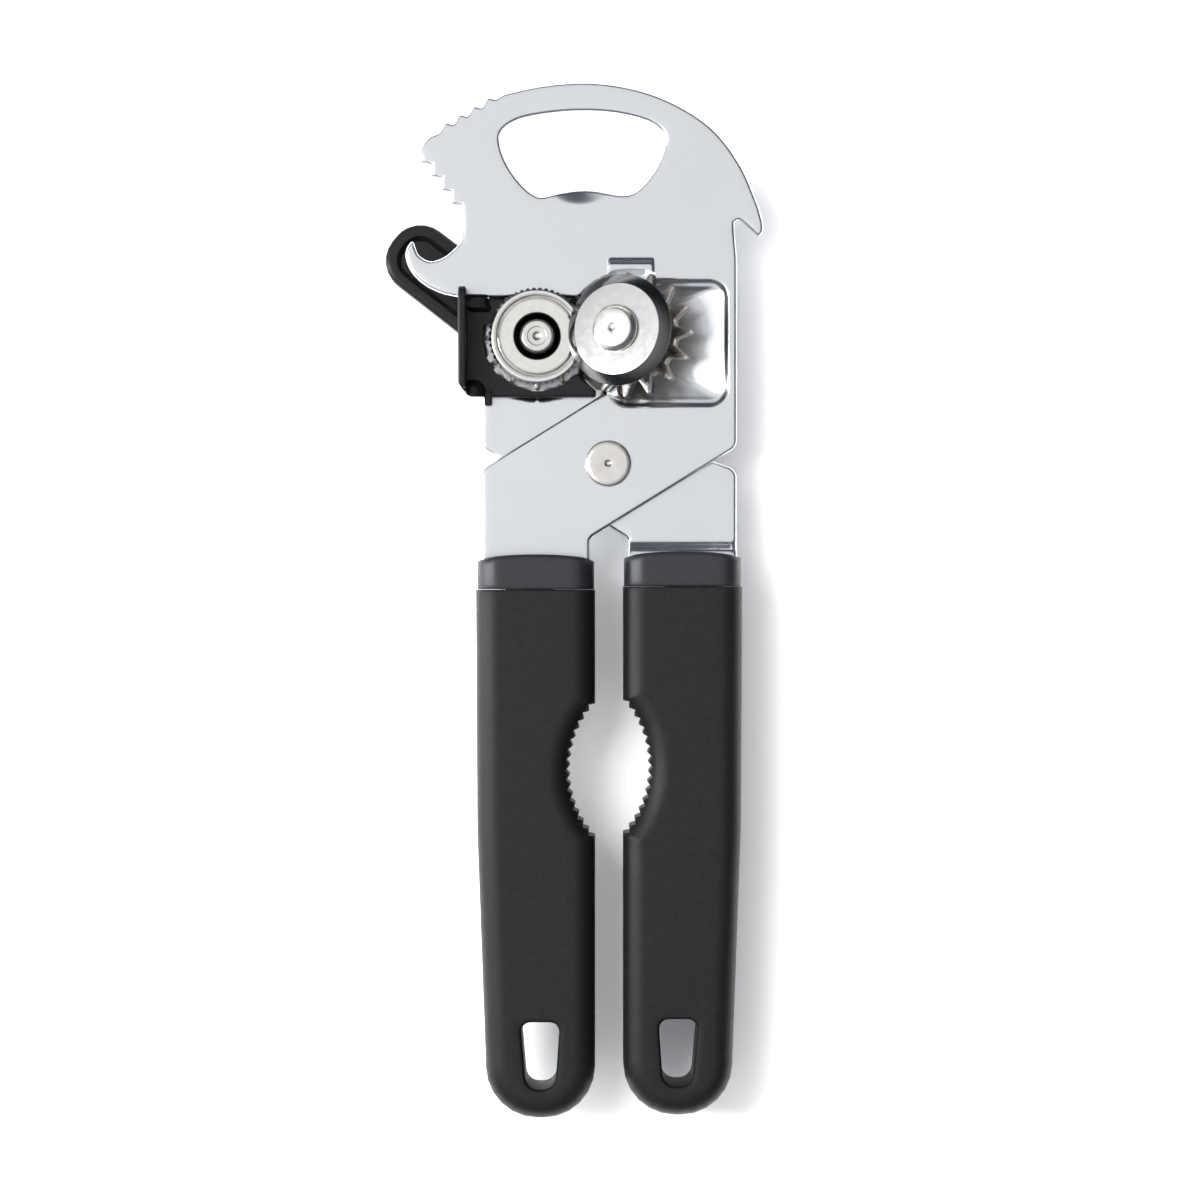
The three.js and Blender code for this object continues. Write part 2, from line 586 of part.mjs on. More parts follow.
function feedWheel() {
  const points = [];
  for (let i = 0; i < FEED_SERRATIONS; i++)
    for (const [share, depth] of [[0, 0.5], [0.35, 0], [0.65, 0]]) {
      const turn = (2 * Math.PI * (i + share)) / FEED_SERRATIONS;
      const r = FEED_WHEEL_R - depth;
      points.push(new THREE.Vector2(FEED.x + r * Math.cos(turn), FEED.y + r * Math.sin(turn)));
    }
  let body = slab(points, feedWheelBack, feedWheelFront);
  const groove = ring(7.1, 8.2, feedWheelFront - 0.35, feedWheelFront + 1, FEED.x, FEED.y, 40);
  const recess = disc(4.5, feedWheelFront - 0.8, feedWheelFront + 1, FEED.x, FEED.y);
  return bored(body.subtract(groove).subtract(recess), SHAFT_R + PRESS_GAP, FEED.x, FEED.y);
}

function feedShaft() {
  const head = feedWheelFront - 0.8 + PRESS_GAP;
  return turned(
    [[0, shaftEnd], [SHAFT_R, shaftEnd], [SHAFT_R, head], [3.2, head], [3.2, head + 0.6],
      [2.7, head + 0.9], [0.8, head + 0.9], [0, head + 0.4]],
    FEED.x, FEED.y,
  );
}
const shaftEnd = crankBack + 1.8;

function feedBush() {
  const flange = dishBack - 1.0;
  return turned(
    [[SHAFT_R + PRESS_GAP, flange], [6, flange], [6, dishBack - PRESS_GAP],
      [FEED_BUSH_R, dishBack - PRESS_GAP], [FEED_BUSH_R, dishFloor], [SHAFT_R + PRESS_GAP, dishFloor],
      [SHAFT_R + PRESS_GAP, flange]],
    FEED.x, FEED.y,
  );
}

// Outline of one crank wing about the feed axis, pointing along +X before it is turned.
function wingCorners(inset) {
  const low = WING_OFFSET - CRANK_WIDTH / 2 + inset;
  const high = WING_OFFSET + CRANK_WIDTH / 2 - inset;
  const tip = CRANK_REACH - inset;
  const root = inset ? HUB_R + 2 : 0;
  const r = WING_TIP_R - inset;
  return [[root, low, inset / 2], [tip, low, r], [tip, high, r], [root, high, inset / 2]];
}

function crankKey() {
  const back = crankBack + 1.2;
  let body = disc(HUB_R, crankBack, CRANK_FRONT, 0, 0, 40);
  for (const turn of [CRANK_ANGLE, CRANK_ANGLE + 180]) {
    const wing = slab(outline(wingCorners(0)), back, CRANK_FRONT - 0.5, 1, 2);
    body = body.add(wing.rotate([0, 0, turn]));
  }
  for (const turn of [CRANK_ANGLE, CRANK_ANGLE + 180]) {
    const pocket = slab(outline(wingCorners(WING_RIM)), CRANK_FRONT - 2, CRANK_FRONT + 2);
    body = body.subtract(pocket.rotate([0, 0, turn]));
  }
  body = body.subtract(disc(SHAFT_R + PRESS_GAP, -60, 60));
  body = body.subtract(disc(INSERT_R + PRESS_GAP, -60, crankBack + INSERT_END));
  body = body.subtract(disc(CAP_R + PRESS_GAP, -60, crankBack + CAP_T));
  return body.translate([FEED.x, FEED.y, 0]);
}

// ---------------------------------------------------------------- cutter
function cutterWheel() {
  const face = CUTTER_FACE_S;
  const bore = CUTTER_SHANK_R + PRESS_GAP;
  return turned(
    [[bore, face - CUTTER_T], [CUTTER_EDGE_R - 1.6, face - CUTTER_T],
      [CUTTER_EDGE_R, face - CUTTER_BEVEL - 0.15], [CUTTER_EDGE_R, face - CUTTER_BEVEL],
      [CUTTER_FACE_R, face], [bore, face], [bore, face - CUTTER_T]],
    0, 0, 56,
  );
}

function cutterRivet() {
  const head = CUTTER_FACE_S + GAP;
  const tail = -SEAT_S - PLATE - 0.9;
  return turned([
    [0, tail - 1], [3.6, tail - 1], [4, tail - 0.6], [4, tail], [CUTTER_SHANK_R, tail],
    [CUTTER_SHANK_R, head], [4.56, head], [4.56, head + 0.6], [3.8, head + 1.8], [0.5, head + 1.8],
    [0, head + 1.5],
  ]);
}

function cutterGear() {
  const gear = slab(gearPoints(CUTTER_TEETH, cutterPitchR, CUTTER_PHASE), -GEAR_T / 2, GEAR_T / 2);
  return bored(gear, CUTTER_SHANK_R + PRESS_GAP);
}

function cutterBush() {
  const inner = CUTTER_SHANK_R + PRESS_GAP;
  const seat = -SEAT_S + PRESS_GAP;
  const front = -GEAR_T / 2 - 0.8;
  const neck = CUTTER_BUSH_R;
  return turned([
    [inner, -SEAT_S - PLATE], [neck, -SEAT_S - PLATE], [neck, seat], [CUTTER_FLANGE_R, seat],
    [CUTTER_FLANGE_R, front],
    [inner, front], [inner, -SEAT_S - PLATE],
  ]);
}

// ---------------------------------------------------------------- materials and scene
const steel = (color, roughness) =>
  new THREE.MeshStandardMaterial({ color, roughness, metalness: 1 });
const plastic = (color) =>
  new THREE.MeshStandardMaterial({ color, roughness: 0.55, metalness: 0 });
const PRESSED_STEEL = steel(0xd2d4d8, 0.35);
const NICKEL = steel(0xdcdad6, 0.2);
const BRIGHT_STEEL = steel(0xe4e4e6, 0.15);
const BLACK_GRIP = plastic(0x2e3031);
const BLACK_COLLAR = plastic(0x37393a);
const BLACK_GUIDE = plastic(0x191a1b);

function node(name, body, material, frame) {
  const mesh = new THREE.Mesh(geometryOf(body), material.clone());
  mesh.name = name;
  if (frame) mesh.applyMatrix4(frame);
  return mesh;
}

function frontLever() {
  const group = new THREE.Group();
  const washerBack = backBack - GAP;
  const head = PLATE + PRESS_GAP;
  const tail = washerBack - 0.6 - PRESS_GAP;
  const rivet = turned([
    [0, tail - 1.1], [3.8, tail - 1.1], [PIVOT_HEAD_R, tail - 0.6], [PIVOT_HEAD_R, tail],
    [PIVOT_R, tail], [PIVOT_R, head], [PIVOT_HEAD_R, head], [PIVOT_HEAD_R, head + 0.7],
    [PIVOT_HEAD_R - 0.5, head + 1], [0.5, head + 1], [0, head + 0.8],
  ]);
  group.add(
    node("front_plate", frontPlate(), PRESSED_STEEL),
    node("left_handle", leftHandle(), BLACK_GRIP),
    node("left_collar", leftCollar(), BLACK_COLLAR),
    node("pivot_rivet", rivet, BRIGHT_STEEL),
    node("pivot_washer", ring(PIVOT_R + PRESS_GAP, 4.8, washerBack - 0.6, washerBack), NICKEL),
    node("cutter_rivet", cutterRivet(), BRIGHT_STEEL, cutterFrame),
    node("cutter_bush", cutterBush(), NICKEL, cutterFrame),
    node(
      "cutter_washer",
      ring(CUTTER_SHANK_R + PRESS_GAP, 4.8, -SEAT_S - PLATE - 0.7, -SEAT_S - PLATE - 0.2),
      NICKEL,
      cutterFrame,
    ),
  );
  return group;
}

function cutterTrain() {
  const group = new THREE.Group();
  const bore = CUTTER_SHANK_R + PRESS_GAP;
  const sleeve = ring(bore, 5.2, GEAR_T / 2 + PRESS_GAP, CUTTER_FACE_S - CUTTER_T - PRESS_GAP);
  const thrust = ring(bore, CUTTER_FLANGE_R, -GEAR_T / 2 - 0.6, -GEAR_T / 2 - PRESS_GAP);
  group.applyMatrix4(cutterFrame);
  group.add(
    node("cutter_wheel", cutterWheel(), BRIGHT_STEEL),
    node("cutter_sleeve", sleeve, NICKEL),
    node("cutter_gear", cutterGear(), NICKEL),
    node("thrust_washer", thrust, NICKEL),
  );
  return group;
}

function backLever() {
  const group = new THREE.Group();
  group.add(
    node("back_plate", backPlate(), PRESSED_STEEL),
    node("right_handle", mirrored(leftHandle(), RIGHT_HANDLE_SHIFT), BLACK_GRIP),
    node("right_collar", mirrored(leftCollar(), RIGHT_HANDLE_SHIFT), BLACK_COLLAR),
    node("rim_guide", rimGuide(), BLACK_GUIDE),
    node("feed_bush", feedBush(), NICKEL),
  );
  GUIDE_PINS.forEach(([x, y], i) => {
    const pin = disc(PIN_R, backBack + 0.1, PIN_TOP, x, y, 16);
    group.add(node(`guide_pin_${i + 1}`, pin, NICKEL));
  });
  return group;
}

function crankTrain() {
  const group = new THREE.Group();
  const bore = SHAFT_R + PRESS_GAP;
  const at = (body) => body.translate([FEED.x, FEED.y, 0]);
  const washer = (outer, low, high) => ring(bore, outer, low, high);
  const insertBack = crankBack + CAP_T + PRESS_GAP;
  const spacerFront = dishBack - 1.0 - 2 * GAP - WAVE_T;
  group.add(
    node("feed_shaft", feedShaft(), BRIGHT_STEEL),
    node("feed_wheel", feedWheel(), NICKEL),
    node("feed_gear", feedGear(), NICKEL),
    node("feed_spacer", at(washer(SPACER_R, feedGearFront + PRESS_GAP, feedWheelBack - PRESS_GAP)), NICKEL),
    node("wave_washer", at(washer(SPACER_R, spacerFront + GAP, spacerFront + GAP + WAVE_T)), NICKEL),
    node("crank_spacer", at(washer(INSERT_R, CRANK_FRONT + PRESS_GAP, spacerFront)), NICKEL),
    node("crank_key", crankKey(), BLACK_GUIDE),
    node("crank_insert", at(washer(INSERT_R, insertBack, crankBack + INSERT_END - PRESS_GAP)), NICKEL),
    node("crank_cap", at(disc(CAP_R, crankBack, crankBack + CAP_T - PRESS_GAP)), BLACK_COLLAR),
  );
  return group;
}

const opener = new THREE.Group();
opener.add(frontLever(), cutterTrain(), backLever(), crankTrain());

// The part's own origin is under the middle of its box, on the surface that it lies on.
opener.updateMatrixWorld(true);
const box = new THREE.Box3().setFromObject(opener);
const middle = box.getCenter(new THREE.Vector3());
opener.position.set(-middle.x, -middle.y, -box.min.z);
export default opener;
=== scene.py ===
import json
import math

import bmesh
import bpy
import numpy as np
from bpy.props import FloatProperty, FloatVectorProperty, IntProperty, PointerProperty
from mathutils import Matrix, Vector
from mathutils.geometry import delaunay_2d_cdt


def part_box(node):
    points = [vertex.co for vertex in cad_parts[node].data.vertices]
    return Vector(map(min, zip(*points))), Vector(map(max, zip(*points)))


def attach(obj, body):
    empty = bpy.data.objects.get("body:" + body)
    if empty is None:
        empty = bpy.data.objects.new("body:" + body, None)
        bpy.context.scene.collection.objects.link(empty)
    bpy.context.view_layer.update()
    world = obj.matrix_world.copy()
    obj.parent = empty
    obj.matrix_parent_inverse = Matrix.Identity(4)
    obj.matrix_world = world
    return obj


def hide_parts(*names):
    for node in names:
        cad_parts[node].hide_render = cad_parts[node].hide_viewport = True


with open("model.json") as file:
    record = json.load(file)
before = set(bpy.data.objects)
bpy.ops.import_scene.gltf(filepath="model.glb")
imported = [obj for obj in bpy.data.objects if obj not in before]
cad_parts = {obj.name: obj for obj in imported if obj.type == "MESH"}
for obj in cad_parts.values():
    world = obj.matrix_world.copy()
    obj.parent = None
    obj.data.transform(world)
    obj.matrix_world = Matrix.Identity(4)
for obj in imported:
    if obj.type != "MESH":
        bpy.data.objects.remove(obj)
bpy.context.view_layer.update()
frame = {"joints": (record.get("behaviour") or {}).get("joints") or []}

bl_info = {
    "name": "Manual can opener",
    "version": (1, 0, 0),
    "blender": (4, 5, 0),
    "location": "View3D > Sidebar > Opener",
    "description": "Builds the visible pieces of a manual can opener around its working frame",
    "category": "Object",
}

MM = 0.001
JOINTS = {joint["name"]: joint for joint in frame["joints"]}

# The working coordinates of this file are millimetres from the lever pivot: +Y to the head,
# +Z towards the cutting wheel, z = 0 on the back of the front lever.
PIVOT = Vector(JOINTS["handle_pivot"]["pos_m"])


def local(point):
    return (Vector(point) - PIVOT) / MM


def levels(node):
    """Lowest and highest z of a node, in working millimetres."""
    low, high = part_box(node)
    return local(low).z, local(high).z


FEED = local(JOINTS["crank_spin"]["pos_m"])
CUTTER = local(JOINTS["cutter_spin"]["pos_m"])
CUTTER_AXIS = Vector(JOINTS["cutter_spin"]["axis"]).normalized()
CUTTER_TURN = Vector((0, 0, 1)).rotation_difference(CUTTER_AXIS).to_matrix().to_4x4()
CUTTER_PLACE = Matrix.Translation(CUTTER) @ CUTTER_TURN
FEED_PLACE = Matrix.Translation((FEED.x, FEED.y, 0))
SHAFT_BORE_R = 2.8  # bore of what sits on the feed shaft or the cutter's rivet
OPENING_TURNS = (0, -4, -8, -12, -16)  # lever openings, in degrees, that the cutter gear clears
CUTTER_TEETH, FEED_TEETH = 15, 12
HERE = Matrix.Identity(4)
MIRROR_X = 0.16


def srgb(text):
    """Linear RGBA of an sRGB hex colour."""
    parts = [int(text[i : i + 2], 16) / 255 for i in (0, 2, 4)]
    return tuple(c / 12.92 if c <= 0.04045 else ((c + 0.055) / 1.055) ** 2.4 for c in parts) + (1.0,)


# ------------------------------------------------------------------ outlines


def rounded(corners, steps=6):
    """Outline through (x, y[, radius]) corners; each corner with a radius becomes an arc."""
    points = []
    for i, corner in enumerate(corners):
        here = np.array(corner[:2], float)
        radius = corner[2] if len(corner) > 2 else 0
        if not radius:
            points.append(here)
            continue
        back = np.array(corners[i - 1][:2], float) - here
        ahead = np.array(corners[(i + 1) % len(corners)][:2], float) - here
        back /= np.linalg.norm(back)
        ahead /= np.linalg.norm(ahead)
        half = math.acos(np.clip(back @ ahead, -1, 1)) / 2
        bisector = (back + ahead) / np.linalg.norm(back + ahead)
        centre = here + bisector * radius / math.sin(half)
        start = here + back * radius / math.tan(half) - centre
        end = here + ahead * radius / math.tan(half) - centre
        turn = math.atan2(start[0] * end[1] - start[1] * end[0], start @ end)
        for k in range(steps + 1):
            a = turn * k / steps
            spin = np.array([[math.cos(a), -math.sin(a)], [math.sin(a), math.cos(a)]])
            points.append(centre + spin @ start)
    return np.array(points)


def flowing(points, closed=False, per=5):
    """Smooth curve through a few points (centripetal Catmull-Rom)."""
    p = [np.array(q, float) for q in points]
    count = len(p)
    if closed:
        p = [p[-1], *p, p[0], p[1]]
    else:
        p = [2 * p[0] - p[1], *p, 2 * p[-1] - p[-2]]
    out = []
    for i in range(1, count + 1 if closed else count):
        p0, p1, p2, p3 = p[i - 1 : i + 3]
        t0 = 0.0
        t1 = t0 + np.linalg.norm(p1 - p0) ** 0.5
        t2 = t1 + np.linalg.norm(p2 - p1) ** 0.5
        t3 = t2 + np.linalg.norm(p3 - p2) ** 0.5
        for k in range(per):
            t = t1 + (t2 - t1) * k / per
            a1 = (t1 - t) / (t1 - t0) * p0 + (t - t0) / (t1 - t0) * p1
            a2 = (t2 - t) / (t2 - t1) * p1 + (t - t1) / (t2 - t1) * p2
            a3 = (t3 - t) / (t3 - t2) * p2 + (t - t2) / (t3 - t2) * p3
            b1 = (t2 - t) / (t2 - t0) * a1 + (t - t0) / (t2 - t0) * a2
            b2 = (t3 - t) / (t3 - t1) * a2 + (t - t1) / (t3 - t1) * a3
            out.append((t2 - t) / (t2 - t1) * b1 + (t - t1) / (t2 - t1) * b2)
    if not closed:
        out.append(p[count])
    return out


def circle(radius, centre=(0, 0), count=48):
    turns = np.arange(count) * 2 * math.pi / count
    return np.c_[centre[0] + radius * np.cos(turns), centre[1] + radius * np.sin(turns)]


def mirrored(loop, shift=0.0):
    return np.c_[2 * MIRROR_X - loop[:, 0], loop[:, 1] + shift][::-1]


def area(loop):
    x, y = loop[:, 0], loop[:, 1]
    return 0.5 * float(np.sum(x * np.roll(y, -1) - y * np.roll(x, -1)))


def evenly(loop, pitch):
    """The same loop with no side longer than the pitch."""
    out = []
    for a, b in zip(loop, np.roll(loop, -1, axis=0)):
        parts = max(1, math.ceil(np.linalg.norm(b - a) / pitch))
        out += [a + (b - a) * k / parts for k in range(parts)]
    return np.array(out)


def inset(loop, distance):
    """The loop moved to its left, which is into the material."""
    if not distance:
        return loop
    along = np.roll(loop, -1, axis=0) - loop
    along /= np.maximum(np.linalg.norm(along, axis=1, keepdims=True), 1e-9)
    normal = np.c_[-along[:, 1], along[:, 0]]
    mean = normal + np.roll(normal, 1, axis=0)
    square = np.maximum(np.sum(mean * mean, axis=1, keepdims=True), 0.6)
    return loop + mean * 2 * distance / square


def reach(points, loop):
    """Distance from each point to a closed loop."""
    a, b = loop, np.roll(loop, -1, axis=0)
    ab = b - a
    length2 = np.maximum(np.sum(ab * ab, axis=1), 1e-12)
    best = np.empty(len(points))
    for start in range(0, len(points), 2000):
        chunk = points[start : start + 2000, None, :]
        t = np.clip(np.sum((chunk - a) * ab, axis=2) / length2, 0, 1)
        gap = chunk - (a + t[..., None] * ab)
        best[start : start + 2000] = np.sqrt(np.min(np.sum(gap * gap, axis=2), axis=1))
    return best


def within(points, loop):
    """Which points lie inside a closed loop."""
    x, y = points[:, 0], points[:, 1]
    result = np.zeros(len(points), bool)
    for (x0, y0), (x1, y1) in zip(loop, np.roll(loop, -1, axis=0)):
        if y0 != y1:
            crosses = (y0 > y) != (y1 > y)
            result ^= crosses & (x < (x1 - x0) * (y - y0) / (y1 - y0) + x0)
    return result


def inner_distance(points, loop):
    """Distance into a closed loop: positive inside, negative outside."""
    return np.where(within(points, loop), 1.0, -1.0) * reach(points, loop)


def edge_drop(distance, radius):
    """How far a rounded edge lies below its face, at a distance in from the side."""
    t = np.clip(1 - distance / radius, 0, 1)
    return radius * (1 - np.sqrt(1 - t * t))


def edge_steps(radius, count):
    return [radius * (1 - math.cos(math.radians(90 * k / count))) for k in range(count + 1)]


def step(x):
    t = np.clip(x, 0, 1)
    return t * t * (3 - 2 * t)


# ------------------------------------------------------------------ meshes


def piece(name, vertices, faces, material, place=HERE, sharp=38):
    """A new object in the row frame, shaded smooth between edges under the sharp angle."""
    mesh = bpy.data.meshes.new(name)
    to_frame = Matrix.Translation(PIVOT) @ Matrix.Scale(MM, 4) @ place
    rows = np.array(to_frame)
    co = np.asarray(vertices, float) @ rows[:3, :3].T + rows[:3, 3]
    mesh.from_pydata(co.tolist(), [], faces)
    mesh.validate()
    mesh.materials.append(material)
    mesh.shade_smooth()
    mesh.set_sharp_from_angle(angle=math.radians(sharp))
    made = bpy.data.objects.new(name, mesh)
    bpy.context.scene.collection.objects.link(made)
    return made


def staggered(x0, y0, x1, y1, pitch):
    xs = np.arange(x0, x1, pitch)
    ys = np.arange(y0, y1, pitch * 0.87)
    return np.array([(x + (k % 2) * pitch / 2, y) for k, y in enumerate(ys) for x in xs])


def contoured(name, material, outer, front, back, holes=(), insets=(0.0,), pitch=1.5, rows=(),
              fine=(), place=HERE, sharp=38):
    """A solid between two height functions over an outline.

    front and back take the points and their distance to the outline. insets are the contours
    that follow the edge, rows are more points that the mesh has to follow, and fine holds
    boxes (x0, y0, x1, y1, pitch) with a closer mesh."""
    loops = [outer if area(outer) > 0 else outer[::-1]]
    loops += [hole if area(hole) < 0 else hole[::-1] for hole in holes]
    loops = [evenly(loop, pitch) for loop in loops]
    corners, sides = [], []

    def follow(loop):
        first = len(corners)
        corners.extend(map(tuple, loop))
        sides.extend((first + k, first + (k + 1) % len(loop)) for k in range(len(loop)))

    for loop in loops:
        for distance in insets:
            follow(inset(loop, distance))
    low, high = loops[0].min(axis=0), loops[0].max(axis=0)
    grid = staggered(*low, *high, pitch)
    gaps = np.full(len(grid), pitch)
    for x0, y0, x1, y1, closer in fine:
        outside = (grid[:, 0] < x0) | (grid[:, 0] > x1) | (grid[:, 1] < y0) | (grid[:, 1] > y1)
        box = staggered(x0, y0, x1, y1, closer)
        grid = np.r_[grid[outside], box]
        gaps = np.r_[gaps[outside], np.full(len(box), closer)]
    edges_near = np.min([reach(grid, loop) for loop in loops], axis=0)
    keep = within(grid, loops[0]) & (edges_near > insets[-1] + 0.4 * gaps)
    for hole in loops[1:]:
        keep &= ~within(grid, hole)
    for row in rows:
        row = np.asarray(row)
        keep &= reach(grid, row) > 0.35 * gaps
        row = row[within(row, loops[0])]
        for hole in loops[1:]:
            row = row[~within(row, hole)]
        near = np.min([reach(row, loop) for loop in loops], axis=0)
        corners.extend(map(tuple, row[near > insets[-1] + 0.05]))
    corners.extend(map(tuple, grid[keep]))
    flat, _, faces, *_ = delaunay_2d_cdt([Vector(c) for c in corners], sides, [], 0, 1e-5)
    points = np.array([tuple(v) for v in flat])
    faces = np.array(faces)
    middles = points[faces].mean(axis=1)
    inside = within(middles, loops[0])
    for hole in loops[1:]:
        inside &= ~within(middles, hole)
    faces = faces[inside]
    used, faces = np.unique(faces, return_inverse=True)
    points = points[used]
    faces = faces.reshape(-1, 3)
    distance = np.min([reach(points, loop) for loop in loops], axis=0)
    top = front(points, distance)
    bottom = np.minimum(back(points, distance), top - 0.02)
    count = len(points)
    pairs = {(a, b) for f in faces for a, b in zip(f, np.roll(f, -1))}
    walls = [(a + count, b + count, b, a) for a, b in pairs if (b, a) not in pairs]
    vertices = np.r_[np.c_[points, top], np.c_[points, bottom]]
    all_faces = faces.tolist() + (faces[:, ::-1] + count).tolist() + [list(map(int, w)) for w in walls]
    return piece(name, vertices, all_faces, material, place, sharp)


def turned(name, material, profile, place=HERE, segments=96, steps=3):
    """A turned piece about z: the profile is (radius, z[, corner radius]) and closes on itself,
    or starts and ends on the axis."""
    on_axis = profile[0][0] == 0 and profile[-1][0] == 0
    line = rounded(profile, steps)
    vertices, rings = [], []
    for r, z in line:
        if r < 1e-6:
            rings.append([len(vertices)] * segments)
            vertices.append((0, 0, z))
            continue
        rings.append(list(range(len(vertices), len(vertices) + segments)))
        turns = np.arange(segments) * 2 * math.pi / segments
        vertices.extend(zip(r * np.cos(turns), r * np.sin(turns), [z] * segments))
    faces = []
    for k in range(len(rings) if not on_axis else len(rings) - 1):
        a, b = rings[k], rings[(k + 1) % len(rings)]
        for i in range(segments):
            j = (i + 1) % segments
            face = list(dict.fromkeys([a[i], a[j], b[j], b[i]]))
            if len(face) > 2:
                faces.append(face)
    return piece(name, vertices, faces, material, place)


def hand_over(made, body, slot, *nodes):
    """Attaches a finished piece to its moving body and hides the working nodes it stands for."""
    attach(made, body)
    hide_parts(*nodes)
    return made


# ------------------------------------------------------------------ materials


def add_node(tree, kind, inputs=None, **settings):
    """One shader node with its settings and links; an input is a value or another node's output."""
    node = tree.nodes.new(kind)
    for name, value in settings.items():
        setattr(node, name, value)
    for socket, value in (inputs or {}).items():
        if isinstance(value, bpy.types.NodeSocket):
            tree.links.new(value, node.inputs[socket])
        else:
            node.inputs[socket].default_value = value
    return node


def new_material(name):
    material = bpy.data.materials.new(name)
    material.use_nodes = True
    tree = material.node_tree
    tree.nodes.clear()
    surface = add_node(tree, "ShaderNodeBsdfPrincipled")
    add_node(tree, "ShaderNodeOutputMaterial", {"Surface": surface.outputs["BSDF"]})
    return material, tree, surface


def grain(tree, size_mm, detail=3.0, stretch=(1, 1, 1)):
    """Noise in object space whose features are about size_mm across."""
    place = add_node(tree, "ShaderNodeTexCoord").outputs["Object"]
    scaled = add_node(tree, "ShaderNodeMapping", {"Vector": place, "Scale": stretch})
    per_metre = 1 / (size_mm * MM)
    inputs = {"Vector": scaled.outputs["Vector"], "Scale": per_metre, "Detail": detail}
    return add_node(tree, "ShaderNodeTexNoise", inputs).outputs["Fac"]


def spread(tree, factor, low, high):
    """The factor mapped to run from low to high."""
    inputs = {"Value": factor, "From Min": 0.3, "From Max": 0.7, "To Min": low, "To Max": high}
    return add_node(tree, "ShaderNodeMapRange", inputs).outputs["Result"]


def tinted(tree, factor, dark, light):
    """Two colours mixed by a factor; sockets 6 and 7 are the node's colour inputs."""
    return add_node(tree, "ShaderNodeMix", {0: factor, 6: dark, 7: light}, data_type="RGBA").outputs[2]


def bumped(tree, surface, height, depth_mm, strength=1.0, normal=None):
    inputs = {"Height": height, "Distance": depth_mm * MM, "Strength": strength}
    if normal:
        inputs["Normal"] = normal
    bump = add_node(tree, "ShaderNodeBump", inputs)
    tree.links.new(bump.outputs["Normal"], surface.inputs["Normal"])
    return bump.outputs["Normal"]


def tumbled_stainless(colours):
    """Pressed stainless sheet, tumbled after blanking: a soft satin with faint clouding, and edges
    that the tumbling has rounded and brightened."""
    material, tree, surface = new_material("tumbled_stainless")
    base = tuple(colours.sheet_steel) + (1.0,)
    shade = tuple(c * 0.98 for c in colours.sheet_steel) + (1.0,)
    cloud = grain(tree, 16.0, 2.0)
    tree.links.new(tinted(tree, spread(tree, cloud, 0, 1), shade, base), surface.inputs["Base Color"])
    surface.inputs["Metallic"].default_value = 1.0
    tree.links.new(spread(tree, grain(tree, 5.0, 3.0), 0.24, 0.27), surface.inputs["Roughness"])
    return material


def turned_metal(name, colour, rough, line_mm, depth_mm, painted_darkening=None):
    """Metal cut on a lathe: fine rings about the piece's own axis. painted_darkening gives the radius
    where a dark zone starts, the one where it is full, and its colour; the zone paints shade round the
    shafts of the nickel parts and a dark reflection on the cutter's bevel."""
    material, tree, surface = new_material(name)
    radius = add_node(tree, "ShaderNodeAttribute", attribute_name="turned_radius").outputs["Fac"]
    phase = add_node(
        tree, "ShaderNodeMath", {0: radius, 1: 2 * math.pi / line_mm}, operation="MULTIPLY"
    )
    rings = add_node(tree, "ShaderNodeMath", {0: phase.outputs[0]}, operation="SINE").outputs[0]
    worn = grain(tree, 1.2, 4.0)
    base = tuple(colour) + (1.0,)
    shade = tuple(c * 0.92 for c in colour) + (1.0,)
    face = tinted(tree, spread(tree, worn, 0, 1), shade, base)
    # painted shade and painted dark reflection: the base colour goes towards a dark colour by radius
    if painted_darkening:
        start, full, dark = painted_darkening
        zone = {"Value": radius, "From Min": start, "From Max": full}
        zone = add_node(tree, "ShaderNodeMapRange", zone).outputs["Result"]
        face = tinted(tree, zone, face, srgb(dark))
    tree.links.new(face, surface.inputs["Base Color"])
    surface.inputs["Metallic"].default_value = 1.0
    tree.links.new(spread(tree, worn, rough, rough * 1.5), surface.inputs["Roughness"])
    bumped(tree, surface, rings, depth_mm, 0.25)
    return material


def nickel_plate(colours):
    """Nickel-plated steel: slightly warm and bright over the turning marks of the blank, with painted
    shade close round the shafts: the colour goes dark inside a radius of 4.5 mm."""
    return turned_metal("nickel_plated_steel", colours.nickel, 0.17, 0.28, 0.0015,
                        (4.68, 4.5, "35322f"))


def hardened_cutter(colours):
    """Hardened cutter steel: a bright lapped face with hardly any rings, and a bevel painted darker
    than the face from a radius of 8.75 mm out, as a painted dark reflection."""
    return turned_metal("polished_cutter_steel", colours.cutter, 0.16, 0.22, 0.0006,
                        (8.75, 8.9, "6b6b6b"))


def gear_steel(colours):
    """Gear steel, a warm grey that makes the teeth darker than the plated wheels: partly the steel's own
    tone and partly painted shade for teeth that sit in the shaded pocket.
    """
    return turned_metal("gear_steel_with_painted_shade", colours.gear, 0.24, 0.5, 0.001)


def rivet_steel(colours):
    """Turned rivet stock, left as cut, so the heads look a little duller than the wheels."""
    return turned_metal("turned_rivet_steel", colours.rivet, 0.26, 0.32, 0.003)


